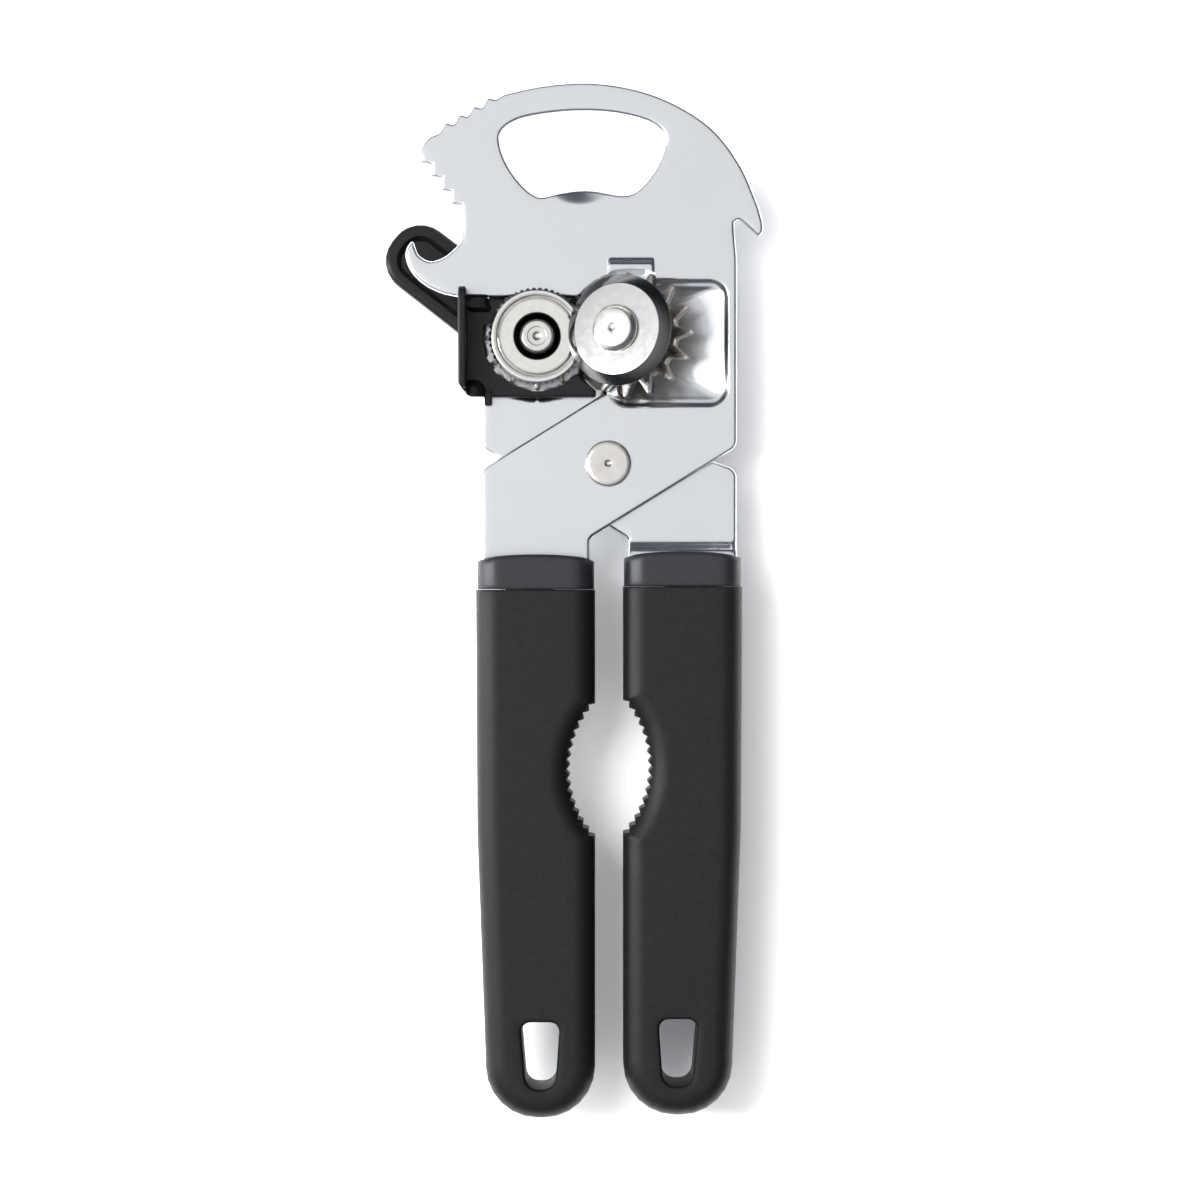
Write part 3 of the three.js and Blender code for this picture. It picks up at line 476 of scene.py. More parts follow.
def moulded(name, colour, rough, shine, grain_mm, depth_mm, coarse_mm):
    """Moulded plastic: the fine grain of a spark-eroded mould under a slow waviness."""
    material, tree, surface = new_material(name)
    base = tuple(colour) + (1.0,)
    lighter = tuple(min(1.0, c * 1.35 + 0.002) for c in colour) + (1.0,)
    fine = grain(tree, grain_mm, 3.0)
    slow = grain(tree, coarse_mm, 2.0)
    tree.links.new(tinted(tree, spread(tree, fine, 0, 1), base, lighter), surface.inputs["Base Color"])
    surface.inputs["IOR"].default_value = 1.49
    surface.inputs["Specular IOR Level"].default_value = shine
    tree.links.new(spread(tree, slow, rough, rough + 0.08), surface.inputs["Roughness"])
    waves = bumped(tree, surface, slow, 0.02, 0.2)
    bumped(tree, surface, fine, depth_mm, 0.6, normal=waves)
    return material


def grip_plastic(colours):
    """Filled polypropylene from a textured mould: matt, with a pebble just visible."""
    return moulded("textured_moulded_pp", colours.grip, 0.42, 0.24, 0.45, 0.02, 14.0)


def collar_plastic(colours):
    """The same polypropylene from a smoother part of the mould."""
    return moulded("satin_moulded_pp", colours.collar, 0.34, 0.42, 0.3, 0.008, 10.0)


def guide_plastic(colours):
    """Black acetal, moulded smooth: it has the sharpest highlights of the plastics."""
    return moulded("black_moulded_acetal", colours.guide, 0.28, 0.25, 0.3, 0.006, 8.0)


MAKERS = {
    "pressed_steel": tumbled_stainless,
    "nickel": nickel_plate,
    "cutter_steel": hardened_cutter,
    "gear_steel": gear_steel,
    "rivet_steel": rivet_steel,
    "grip_plastic": grip_plastic,
    "collar_plastic": collar_plastic,
    "guide_plastic": guide_plastic,
}
_made = {}


def finish_of(slot, context):
    if slot not in _made:
        _made[slot] = MAKERS[slot](context.scene.opener_colours)
    return _made[slot]


# ------------------------------------------------------------------ outlines of the opener

SHEET = 2.0
PIVOT_HOLE_R = 3.2
SHAFT_HOLE_R = 3.4  # hole in the back lever for the feed shaft's bush
DISH_R = 12.4
HALF_WIDTH = 24.85
BAND_ANGLE = math.radians(31.7)
HEAD_LOW_Y = 32.3
RIGHT_EDGE = MIRROR_X + HALF_WIDTH
LEFT_EDGE = MIRROR_X - HALF_WIDTH
TANG_X = MIRROR_X - 3.76
TANG_SHOULDER_Y = -19.8
TANG_END_Y = -96.0

HEAD_RIGHT = [(25.0, 39.9), (24.6, 44.4)]
CLAW = [(24.4, 46.7), (25.4, 47.3), (26.6, 46.5), (28.5, 44.8), (29.3, 44.2), (30.0, 45.0), (30.1, 46.7)]
DOME = [(29.2, 50.0), (25.9, 57.6), (20.7, 64.6), (13.9, 69.4), (6.1, 72.5), (-3.6, 74.0),
        (-13.3, 73.3), (-20.2, 71.8)]
SCALLOP_START = (-21.8, 70.8)
SCALLOP_STEP = (-2.73, -1.6)
SCALLOP_CREST = (-1.6, 0.2)
NOSE = [(-32.72, 64.4), (-34.6, 63.5), (-35.8, 62.3), (-36.4, 60.9)]
SAW_START = (-36.4, 58.4)
SAW_STEP = (1.88, -2.66)
SAW_BITE = (2.2, -0.3)
NECK = [(-28.3, 46.5), (-28.7, 43.1), (-29.3, 42.3), (-31.9, 40.1), (-34.6, 39.3), (-36.8, 40.5),
        (-37.3, 41.6), (-38.0, 43.1), (-38.7, 42.6), (-39.4, 40.7), (-38.6, 37.8), (-36.2, 35.1),
        (-32.7, 33.2), (-29.0, HEAD_LOW_Y)]
WINDOW = [(-20.9, 64.2), (-18.1, 66.6), (-11.3, 68.1), (-3.6, 68.5), (3.3, 67.8), (9.0, 65.9),
          (11.1, 63.4), (10.4, 59.6), (7.2, 54.4), (4.3, 52.3), (1.2, 52.3), (-2.5, 53.2),
          (-5.5, 53.5), (-9.4, 52.7), (-13.3, 51.8), (-16.2, 53.6), (-19.4, 57.8), (-20.9, 61.6)]


def band_y(distance, x, side):
    """Height at x of a band edge that runs at the band's slope, distance from the pivot."""
    return side * distance / math.cos(BAND_ANGLE) + math.tan(BAND_ANGLE) * x


def lever_corners(waist, column_x, top_y, corner_r):
    """The lower part of a lever, from the column's inner edge round to its outer edge."""
    return [
        (column_x, top_y, 1.5 if top_y == HEAD_LOW_Y else 0),
        (column_x, band_y(waist, column_x, 1), 1.2),
        (-15.0, band_y(waist, -15.0, 1)),
        (LEFT_EDGE, band_y(12.0, LEFT_EDGE, 1), corner_r),
        (LEFT_EDGE, TANG_SHOULDER_Y, 0.6),
        (LEFT_EDGE + 4.2, TANG_SHOULDER_Y, 0.6),
        (LEFT_EDGE + 4.2, TANG_END_Y, 3),
        (TANG_X - 7, TANG_END_Y, 3),
        (TANG_X - 7, TANG_SHOULDER_Y, 0.6),
        (TANG_X, TANG_SHOULDER_Y, 0.6),
        (TANG_X, band_y(10.4, TANG_X, -1), 1.6),
        (RIGHT_EDGE, band_y(10.4, RIGHT_EDGE, -1), corner_r),
    ]


def front_outline(corner_r):
    shoulder = []
    for i in range(4):
        low = (SCALLOP_START[0] + SCALLOP_STEP[0] * i, SCALLOP_START[1] + SCALLOP_STEP[1] * i)
        shoulder += [low, (low[0] + SCALLOP_CREST[0], low[1] + SCALLOP_CREST[1])]
    teeth = []
    for i in range(4):
        tip = (SAW_START[0] + SAW_STEP[0] * i, SAW_START[1] + SAW_STEP[1] * i)
        teeth += [tip, (tip[0] + SAW_BITE[0], tip[1] + SAW_BITE[1])]
    head = [*HEAD_RIGHT, *flowing(CLAW, per=5), *flowing([*DOME], per=7)]
    head += [*flowing([*shoulder, *NOSE], per=5), *teeth, *flowing(NECK, per=4)]
    lower = lever_corners(12.0, -0.4, HEAD_LOW_Y, corner_r)
    lower = rounded([NECK[-1], *lower, HEAD_RIGHT[0]])[1:-1]
    return np.r_[np.array([tuple(p) for p in head]), lower]


def gear_outline(teeth, pitch_r, phase):
    share = 0.36 * math.pi / teeth
    lean = math.tan(math.radians(22))
    root, tip = pitch_r - 1.8, pitch_r + 1.35
    half_root, half_tip = share + 1.8 * lean / pitch_r, share - 1.35 * lean / pitch_r
    corners = []
    for i in range(teeth):
        middle = phase + 2 * math.pi * i / teeth
        for r, off, soft in ((root, -half_root, 0.5), (tip, -half_tip, 0.25), (tip, half_tip, 0.25),
                             (root, half_root, 0.5)):
            a = middle + off
            corners.append((r * math.cos(a), r * math.sin(a), soft))
    return rounded(corners, 3)


# ------------------------------------------------------------------ pressed sheet


def behind(height, thickness, rings=4):
    """The far face of sheet of even thickness whose near face is the height function."""

    def far(points):
        lowest = height(points) - thickness
        for ring in range(1, rings + 1):
            r = thickness * math.sin(math.pi / 2 * ring / rings)
            sink = math.sqrt(max(thickness * thickness - r * r, 0))
            for k in range(12):
                turn = math.pi * k / 6 + ring * 0.26
                moved = points + np.array([r * math.cos(turn), r * math.sin(turn)])
                lowest = np.minimum(lowest, height(moved) - sink)
        return lowest

    return far


RECESS_LOW, RECESS_HIGH = (1.2, 12.0), (22.3, 34.8)
RECESS_CORNER_R = 2.6
RECESS_RIM = 1.3
RECESS_RIM_Z = 1.2
SEAT_DEPTH = 5.5  # cutter gear's middle plane down to the seat of its rivet


def recess_outline():
    (x0, y0), (x1, y1) = RECESS_LOW, RECESS_HIGH
    r = RECESS_CORNER_R
    return rounded([(x0, y0, r), (x1, y0, r), (x1, y1, r), (x0, y1, r)])


# Slopes of the recess's flat faces, from the rim down to the rivet's seat.
FACE_SLOPES = {"right": 0.23, "top": 0.60, "bottom": 0.37, "left": 3.2}


def recess_floor(points, crease=0.1):
    """The flat faces of the recess round the tilted seat, joined in creases about as wide as the
    tool's radius."""
    x, y = points[:, 0], points[:, 1]
    (x0, y0), (x1, y1) = RECESS_LOW, RECESS_HIGH
    centre = CUTTER - CUTTER_AXIS * SEAT_DEPTH
    lean = CUTTER_AXIS.x * (x - centre.x) + CUTTER_AXIS.y * (y - centre.y)
    seat = centre.z - lean / CUTTER_AXIS.z
    right = RECESS_RIM_Z - FACE_SLOPES["right"] * (x1 - x)
    faces = [
        np.minimum(seat, right),
        RECESS_RIM_Z - FACE_SLOPES["top"] * (y1 - y),
        RECESS_RIM_Z - FACE_SLOPES["bottom"] * (y - y0),
        RECESS_RIM_Z - FACE_SLOPES["left"] * (x - x0),
    ]
    return crease * np.logaddexp.reduce(np.array(faces) / crease, axis=0)


def front_face():
    """Height of the front plate's face: flat, with the lip, the tab and the recess pressed in."""
    rim = recess_outline()

    def height(points):
        x, y = points[:, 0], points[:, 1]
        z = np.full(len(points), SHEET)
        lip = np.clip(1.05 - np.hypot((x + 5.4) / 6.2, (y - 53.9) / 3.7), 0, 1)
        z = z - 2.1 * lip * lip / (lip + 0.15)
        across = step((x + 0.1) / 0.5) * step((8.9 - x) / 0.5)
        rise = 1.25 * step((40.2 - y) / 1.9) + 0.25 * step((38.3 - y) / 2.5)
        z = z + across * rise * step((y - 34.6) / 0.8)
        near = (x > RECESS_LOW[0] - 3) & (x < RECESS_HIGH[0] + 3) & (y > RECESS_LOW[1] - 3)
        near &= y < RECESS_HIGH[1] + 3
        if near.any():
            into = inner_distance(points[near], rim)
            drawn = SHEET - (SHEET - RECESS_RIM_Z) * step(1 + into / RECESS_RIM)
            floor = np.minimum(recess_floor(points[near]), RECESS_RIM_Z)
            floor = RECESS_RIM_Z - (RECESS_RIM_Z - floor) * step(0.15 + into / 1.1)
            z[near] += np.where(into > 0, floor, drawn) - SHEET
        return z

    return height


def back_face(points):
    x, y = points[:, 0], points[:, 1]
    z = np.full(len(points), -0.3)
    dish = np.hypot(x - FEED.x, y - FEED.y)
    z = z - 2.7 * step((DISH_R - dish) / 1.9)
    return z + 2.3 * step((-15.0 - y) / 2.3)


def sheet_piece(name, material, outer, holes, near, edge_r, fine):
    """Pressed sheet with tumbled edges."""
    far = behind(near, SHEET)
    return contoured(
        name, material, outer,
        lambda p, d: near(p) - edge_drop(d, edge_r),
        lambda p, d: far(p) + edge_drop(d, edge_r),
        holes=holes, insets=edge_steps(edge_r, 4), pitch=1.3, fine=fine, sharp=50,
    )


def gear_tool(clearance, turns=(0,)):
    """A convex block round the space that the cutter gear turns in, swept about the lever pivot."""
    mesh = bmesh.new()
    for turn in turns:
        spin = Matrix.Rotation(math.radians(turn), 4, "Z")
        for s in (-1.1 - clearance, 9.0):
            for x, y in circle(12.3 + clearance, count=40):
                mesh.verts.new(spin @ CUTTER_PLACE @ Vector((x, y, s)) * MM + PIVOT)
    hull = bmesh.ops.convex_hull(mesh, input=mesh.verts)
    bmesh.ops.delete(mesh, geom=list(set(hull["geom_interior"] + hull["geom_unused"])), context="VERTS")
    data = bpy.data.meshes.new("gear_tool")
    mesh.to_mesh(data)
    mesh.free()
    tool = bpy.data.objects.new("gear_tool", data)
    bpy.context.scene.collection.objects.link(tool)
    return tool


def cut(made, tool):
    """Cuts the tool out of a piece for good."""
    modifier = made.modifiers.new("clearance", "BOOLEAN")
    modifier.object = tool
    modifier.operation = "DIFFERENCE"
    modifier.solver = "EXACT"
    graph = bpy.context.evaluated_depsgraph_get()
    result = bpy.data.meshes.new_from_object(made.evaluated_get(graph))
    made.modifiers.clear()
    made.data = result
    bpy.data.objects.remove(tool)


def radii(made, place):
    """Stores each vertex's distance from the turning axis, which the turned metals read."""
    mesh = made.data
    co = np.empty(len(mesh.vertices) * 3)
    mesh.vertices.foreach_get("co", co)
    back = np.array((Matrix.Translation(PIVOT) @ Matrix.Scale(MM, 4) @ place).inverted())
    own = co.reshape(-1, 3) @ back[:3, :3].T + back[:3, 3]
    layer = mesh.attributes.new("turned_radius", "FLOAT", "POINT")
    layer.data.foreach_set("value", np.hypot(own[:, 0], own[:, 1]))
    return made


# ------------------------------------------------------------------ settings


def tint(name, description, colour):
    """A colour setting with its default given as sRGB hex."""
    return FloatVectorProperty(name=name, description=description, subtype="COLOR", size=3,
                               min=0, max=1, default=srgb(colour)[:3])


def length(name, description, low, high, default):
    """A length setting in metres."""
    return FloatProperty(name=name, description=description, subtype="DISTANCE", unit="LENGTH",
                         min=low, max=high, default=default)


def power(name, description, default):
    """A lamp's power in watts."""
    return FloatProperty(name=name, description=description, subtype="POWER", unit="POWER",
                         min=0, max=100, default=default)


class OpenerColours(bpy.types.PropertyGroup):
    """The colours of the bought-in materials."""

    sheet_steel: tint("Sheet steel", "Tint of the pressed stainless sheet", "dddfe2")
    nickel: tint("Nickel", "Tint of the nickel plate on the small turned parts", "e8e6e1")
    cutter: tint("Cutter", "Tint of the hardened cutting wheel", "dfdedb")
    # the gear tint is darker than the nickel partly as painted shade
    gear: tint("Gears", "Tint of the two hardened gears", "a19c95")
    rivet: tint("Rivets", "Tint of the turned rivets and the feed shaft", "e0ddd7")
    grip: tint("Grip", "Colour of the textured handle plastic", "0b0c0d")
    collar: tint("Collar", "Colour of the smooth collars on the handles", "141517")
    guide: tint("Guide", "Colour of the rim guide and the wing key", "08090a")


class OpenerShape(bpy.types.PropertyGroup):
    """The sizes that only the look depends on."""

    sheet_edge: length("Sheet edge", "Radius that tumbling leaves on the pressed sheet",
                       0.0001, 0.0009, 0.0007)
    grip_edge: length("Grip edge", "Radius of the edges of the handles", 0.001, 0.006, 0.0042)
    finger_teeth: IntProperty(
        name="Finger teeth", description="Teeth along the finger arc of each handle",
        min=5, max=25, default=15,
    )
    tooth_depth: length("Tooth depth", "Depth of the teeth along the finger arc", 0.0002, 0.0015, 0.0009)
    serrations: IntProperty(
        name="Serrations", description="Teeth round the feed wheel", min=24, max=72, default=48,
    )


class OpenerStage(bpy.types.PropertyGroup):
    """The table, the light and the camera."""

    floor_colour: tint("Floor", "Colour of the table", "fbfbfb")
    camera_distance: length("Camera distance", "Height of the camera over the front lever", 0.3, 2.0, 0.7)
    top_power: power("Top light", "Power of the wide light overhead", 4.5)
    key_power: power("Key light", "Power of the large soft light at the upper left", 13.0)


def mm(length):
    """A length property in working millimetres."""
    return length / MM


# ------------------------------------------------------------------ operators


class OPENER_OT_front_plate(bpy.types.Operator):
    """Builds the front lever: one pressed sheet with the bottle head, the window and the recess"""

    bl_idname = "opener.front_plate"
    bl_label = "Front plate"

    def execute(self, context):
        look = context.scene.opener_shape
        metal = finish_of("pressed_steel", context)
        window = np.array(flowing(WINDOW, closed=True, per=4))
        pivot = circle(PIVOT_HOLE_R, count=32)
        near = front_face()
        fine = [
            (RECESS_LOW[0] - 2.0, RECESS_LOW[1] - 2.0, RECESS_HIGH[0] + 2.0, RECESS_HIGH[1] + 2.0, 0.4),
            (-0.9, 34.0, 9.7, 40.9, 0.22),
            (-12.9, 49.2, 2.1, 54.5, 0.35),
        ]
        made = sheet_piece("front_plate_visual", metal, front_outline(2.3), [window, pivot], near,
                           mm(look.sheet_edge), fine)
        cut(made, gear_tool(0.6))
        bush = turned("bush_tool", metal, [(0, -12), (3.7, -12), (3.7, 4), (0, 4)], CUTTER_PLACE, 64)
        cut(made, bush)
        finish_edges(made, 45)
        hand_over(made, "front_lever", "pressed_steel", "front_plate")
        return {"FINISHED"}


class OPENER_OT_back_plate(bpy.types.Operator):
    """Builds the back lever, whose tang steps forward and whose head is dished for the feed gear"""

    bl_idname = "opener.back_plate"
    bl_label = "Back plate"

    def execute(self, context):
        look = context.scene.opener_shape
        metal = finish_of("pressed_steel", context)
        corners = [*lever_corners(10.2, 1.3, FEED.y - 1.5, 2.3), (RIGHT_EDGE, 16.0)]
        lower = mirrored(rounded(corners))
        meets = math.acos((LEFT_EDGE - FEED.x) / DISH_R)
        turns = np.linspace(math.radians(-5), 2 * math.pi - meets, 60)
        dish = np.c_[FEED.x + DISH_R * np.cos(turns), FEED.y + DISH_R * np.sin(turns)]
        loop = np.r_[lower, dish]
        hole = circle(PIVOT_HOLE_R, count=32)
        shaft = circle(SHAFT_HOLE_R, (FEED.x, FEED.y), 32)
        fine = [(FEED.x - 13, FEED.y - 13, FEED.x + 13, FEED.y + 13, 0.7),
                (-25.0, -18.2, 25.5, -14.0, 0.6)]
        made = sheet_piece("back_plate_visual", metal, loop, [hole, shaft], back_face,
                           mm(look.sheet_edge), fine)
        cut(made, gear_tool(0.8, OPENING_TURNS))
        finish_edges(made, 45)
        hand_over(made, "back_lever", "pressed_steel", "back_plate")
        return {"FINISHED"}


HANDLE_BACK, HANDLE_FRONT = levels("left_handle")
RIGHT_SHIFT = 0.6
ARC_CENTRE = (11.77, -59.3)
ARC_R = 19.2
ARC_HALF = math.asin(12.8 / ARC_R)
GRIP_IN_X = -2.54
GRIP_END_Y = -126.6
GRIP_CUT_Y = -24.5


def grip_outline(top_y, teeth=0, depth=0.0):
    """The left grip running up to top_y, with V teeth along its finger arc if there are any."""
    parts = 4 * (teeth or 6)
    arc = []
    for k in range(parts + 1):
        turn = math.pi + ARC_HALF * (1 - 2 * k / parts)
        r = ARC_R + depth * (0.0, 0.45, 1.0, 0.45)[k % 4]
        arc.append((ARC_CENTRE[0] + r * math.cos(turn), ARC_CENTRE[1] + r * math.sin(turn)))
    return rounded([
        (GRIP_IN_X, top_y), (-25.6, top_y), (-25.34, -71.0), (-23.74, -114.6),
        (-23.54, GRIP_END_Y, 10), (GRIP_IN_X, GRIP_END_Y, 10), *arc,
    ])


def grip(name, look, material, right):
    edge = mm(look.grip_edge)
    smooth = grip_outline(-10.0)
    outer = grip_outline(GRIP_CUT_Y, look.finger_teeth, mm(look.tooth_depth))
    slot = rounded([(-16.94, -107.8, 1.8), (-15.84, -120.7, 2.6), (-10.24, -120.7, 2.6),
                    (-9.34, -107.8, 1.8)])
    if right:
        smooth, outer, slot = (mirrored(loop, RIGHT_SHIFT) for loop in (smooth, outer, slot))

    def drop(points, _):
        side = edge_drop(np.maximum(inner_distance(points, smooth), 0), edge)
        end = edge_drop(GRIP_CUT_Y + right * RIGHT_SHIFT - points[:, 1], 0.35)
        return side + end + edge_drop(reach(points, slot), 0.8)

    steps = edge_steps(edge, 9)
    rows = [inset(evenly(smooth, 0.9), d) for d in steps[2:]]
    clockwise = slot if area(slot) < 0 else slot[::-1]
    rows += [inset(evenly(clockwise, 0.9), d) for d in edge_steps(0.8, 3)[1:]]
    side = 1 if right else -1
    rows += [np.array([(MIRROR_X + side * x, GRIP_CUT_Y + right * RIGHT_SHIFT - d)
                       for x in np.arange(3.2, 25.0, 0.8)]) for d in (0.04, 0.12, 0.35)]
    near, far = sorted((MIRROR_X + side * 2.4, MIRROR_X + side * 12.5))
    return contoured(
        name, material, outer,
        lambda p, d: HANDLE_FRONT - drop(p, d), lambda p, d: HANDLE_BACK + drop(p, d),
        holes=[slot], insets=(0.0, steps[1]), pitch=1.2, rows=rows,
        fine=[(near, -74.0, far, -44.0, 0.55)], sharp=32,
    )


def collar(name, look, material, right):
    edge = mm(look.grip_edge)
    half_width = 11.3
    middle = MIRROR_X - 14.2
    low = -24.42
    top = []
    for k in range(13):
        u = 1 - k / 6
        top.append((middle + half_width * u, -19.2 + 1.5 * math.sqrt(max(0, 1 - u * u * 0.98))))
    outer = rounded([(middle - half_width, low), (middle + half_width, low), *top])
    column = rounded([(middle - half_width, -60), (middle + half_width, -60),
                      (middle + half_width, 10), (middle - half_width, 10)])
    shift = RIGHT_SHIFT if right else 0
    if right:
        outer, column = mirrored(outer, shift), mirrored(column, shift)

    def drop(points, distance):
        side = edge_drop(np.maximum(inner_distance(points, column), 0), edge)
        ends = np.where(points[:, 1] > low + shift + 2.5, edge_drop(distance, 0.9), 0)
        return np.maximum(side + edge_drop(points[:, 1] - low - shift, 0.35), side + ends * 0.8)

    rows = []
    for d in edge_steps(edge, 9)[3:]:
        for x in (middle - half_width + d, middle + half_width - d):
            rows.append(np.array([(2 * MIRROR_X - x if right else x, y + shift)
                                  for y in np.arange(low + 0.4, -18.4, 0.6)]))
    return contoured(
        name, material, outer,
        lambda p, d: HANDLE_FRONT - drop(p, d), lambda p, d: HANDLE_BACK + drop(p, d),
        insets=(0.0, 0.08, 0.3, 0.9), pitch=0.9, rows=rows, sharp=32,
    )


class OPENER_OT_handles(bpy.types.Operator):
    """Builds both moulded grips, with toothed finger arcs and hanging slots, and their collars"""

    bl_idname = "opener.handles"
    bl_label = "Handles"

    def execute(self, context):
        look = context.scene.opener_shape
        grip_pp = finish_of("grip_plastic", context)
        collar_pp = finish_of("collar_plastic", context)
        for side, body, right in (("left", "front_lever", False), ("right", "back_lever", True)):
            made = grip(f"{side}_grip_visual", look, grip_pp, right)
            hand_over(made, body, "grip_plastic", f"{side}_handle")
            made = collar(f"{side}_collar_visual", look, collar_pp, right)
            hand_over(made, body, "collar_plastic", f"{side}_collar")
        return {"FINISHED"}


def lathe(name, slot, context, profile, body, node, place=HERE, segments=96):
    """A turned metal piece in one call: made, marked with its radii, and handed over."""
    made = turned(name, finish_of(slot, context), profile, place, segments)
    return hand_over(radii(made, place), body, slot, node)


def washer_profile(inner, outer, low, high, soft=0.12):
    return [(inner, low), (outer, low, soft), (outer, high, soft), (inner, high)]


class OPENER_OT_pivot(bpy.types.Operator):
    """Builds the pivot rivet with its dimpled head, and the washer behind the levers"""

    bl_idname = "opener.pivot"
    bl_label = "Lever pivot"

    def execute(self, context):
        low, high = levels("pivot_rivet")
        profile = [
            (0, low), (3.6, low, 0.5), (4.45, low + 0.6, 0.4), (4.45, -3.4, 0.1), (3.0, -3.4),
            (3.0, 2.2), (4.45, 2.2, 0.1), (4.45, high - 0.25, 0.45), (3.6, high, 0.8),
            (0.75, high, 0.3), (0.35, high - 0.3, 0.2), (0, high - 0.35),
        ]
        lathe("pivot_rivet_visual", "rivet_steel", context, profile, "front_lever", "pivot_rivet")
        low, high = levels("pivot_washer")
        lathe("pivot_washer_visual", "nickel", context, washer_profile(3.2, 4.8, low, high),
              "front_lever", "pivot_washer")
        return {"FINISHED"}


class OPENER_OT_cutter(bpy.types.Operator):
    """Builds the leaning cutting wheel with its gear, and the rivet and washers that carry it"""

    bl_idname = "opener.cutter"
    bl_label = "Cutter"

    def execute(self, context):
        wheel = [
            (2.8, 6.0), (9.2, 6.0, 0.3), (10.8, 6.95, 0.06), (10.8, 7.1, 0.06), (8.86, 8.6, 0.35),
            (2.8, 8.6),
        ]
        lathe("cutter_wheel_visual", "cutter_steel", context, wheel, "cutter", "cutter_wheel",
              CUTTER_PLACE, 144)
        lathe("cutter_sleeve_visual", "nickel", context, washer_profile(SHAFT_BORE_R, 5.2, 1.3, 5.8, 0.2),
              "cutter", "cutter_sleeve", CUTTER_PLACE)
        lathe("thrust_washer_visual", "nickel", context, washer_profile(SHAFT_BORE_R, 4.2, -1.7, -1.3, 0.1),
              "cutter", "thrust_washer", CUTTER_PLACE)
        rivet = [
            (0, -9.4), (3.6, -9.4, 0.4), (4.0, -9.0, 0.2), (4.0, -8.4), (2.6, -8.4), (2.6, 8.9),
            (4.56, 8.9, 0.1), (4.56, 9.5, 0.5), (3.8, 10.7, 0.7), (0.9, 10.7, 0.3),
            (0.45, 10.35, 0.2), (0, 10.3),
        ]
        lathe("cutter_rivet_visual", "rivet_steel", context, rivet, "front_lever", "cutter_rivet",
              CUTTER_PLACE)
        bush = [(2.8, -7.5), (3.4, -7.5), (3.4, -5.3), (4.2, -5.3, 0.1), (4.2, -1.9, 0.2),
                (2.8, -1.9)]
        lathe("cutter_bush_visual", "nickel", context, bush, "front_lever", "cutter_bush",
              CUTTER_PLACE)
        lathe("cutter_washer_visual", "nickel", context, washer_profile(SHAFT_BORE_R, 4.8, -8.2, -7.7, 0.1),
              "front_lever", "cutter_washer", CUTTER_PLACE)
        gear(context, "cutter_gear", "cutter", CUTTER_TEETH, 10.935,
             math.pi + math.pi / CUTTER_TEETH, (-1.1, 1.1), CUTTER_PLACE)
        return {"FINISHED"}


def gear(context, node, body, teeth, pitch_r, phase, faces, place):
    """A stamped spur gear with broken edges."""
    low, high = faces
    made = contoured(
        f"{node}_visual", finish_of("gear_steel", context), gear_outline(teeth, pitch_r, phase),
        lambda p, d: high - edge_drop(d, 0.3), lambda p, d: low + edge_drop(d, 0.3),
        holes=[circle(SHAFT_BORE_R)], insets=(0.0, 0.08, 0.3), pitch=1.2, place=place,
    )
    hand_over(radii(made, place), body, "nickel", node)


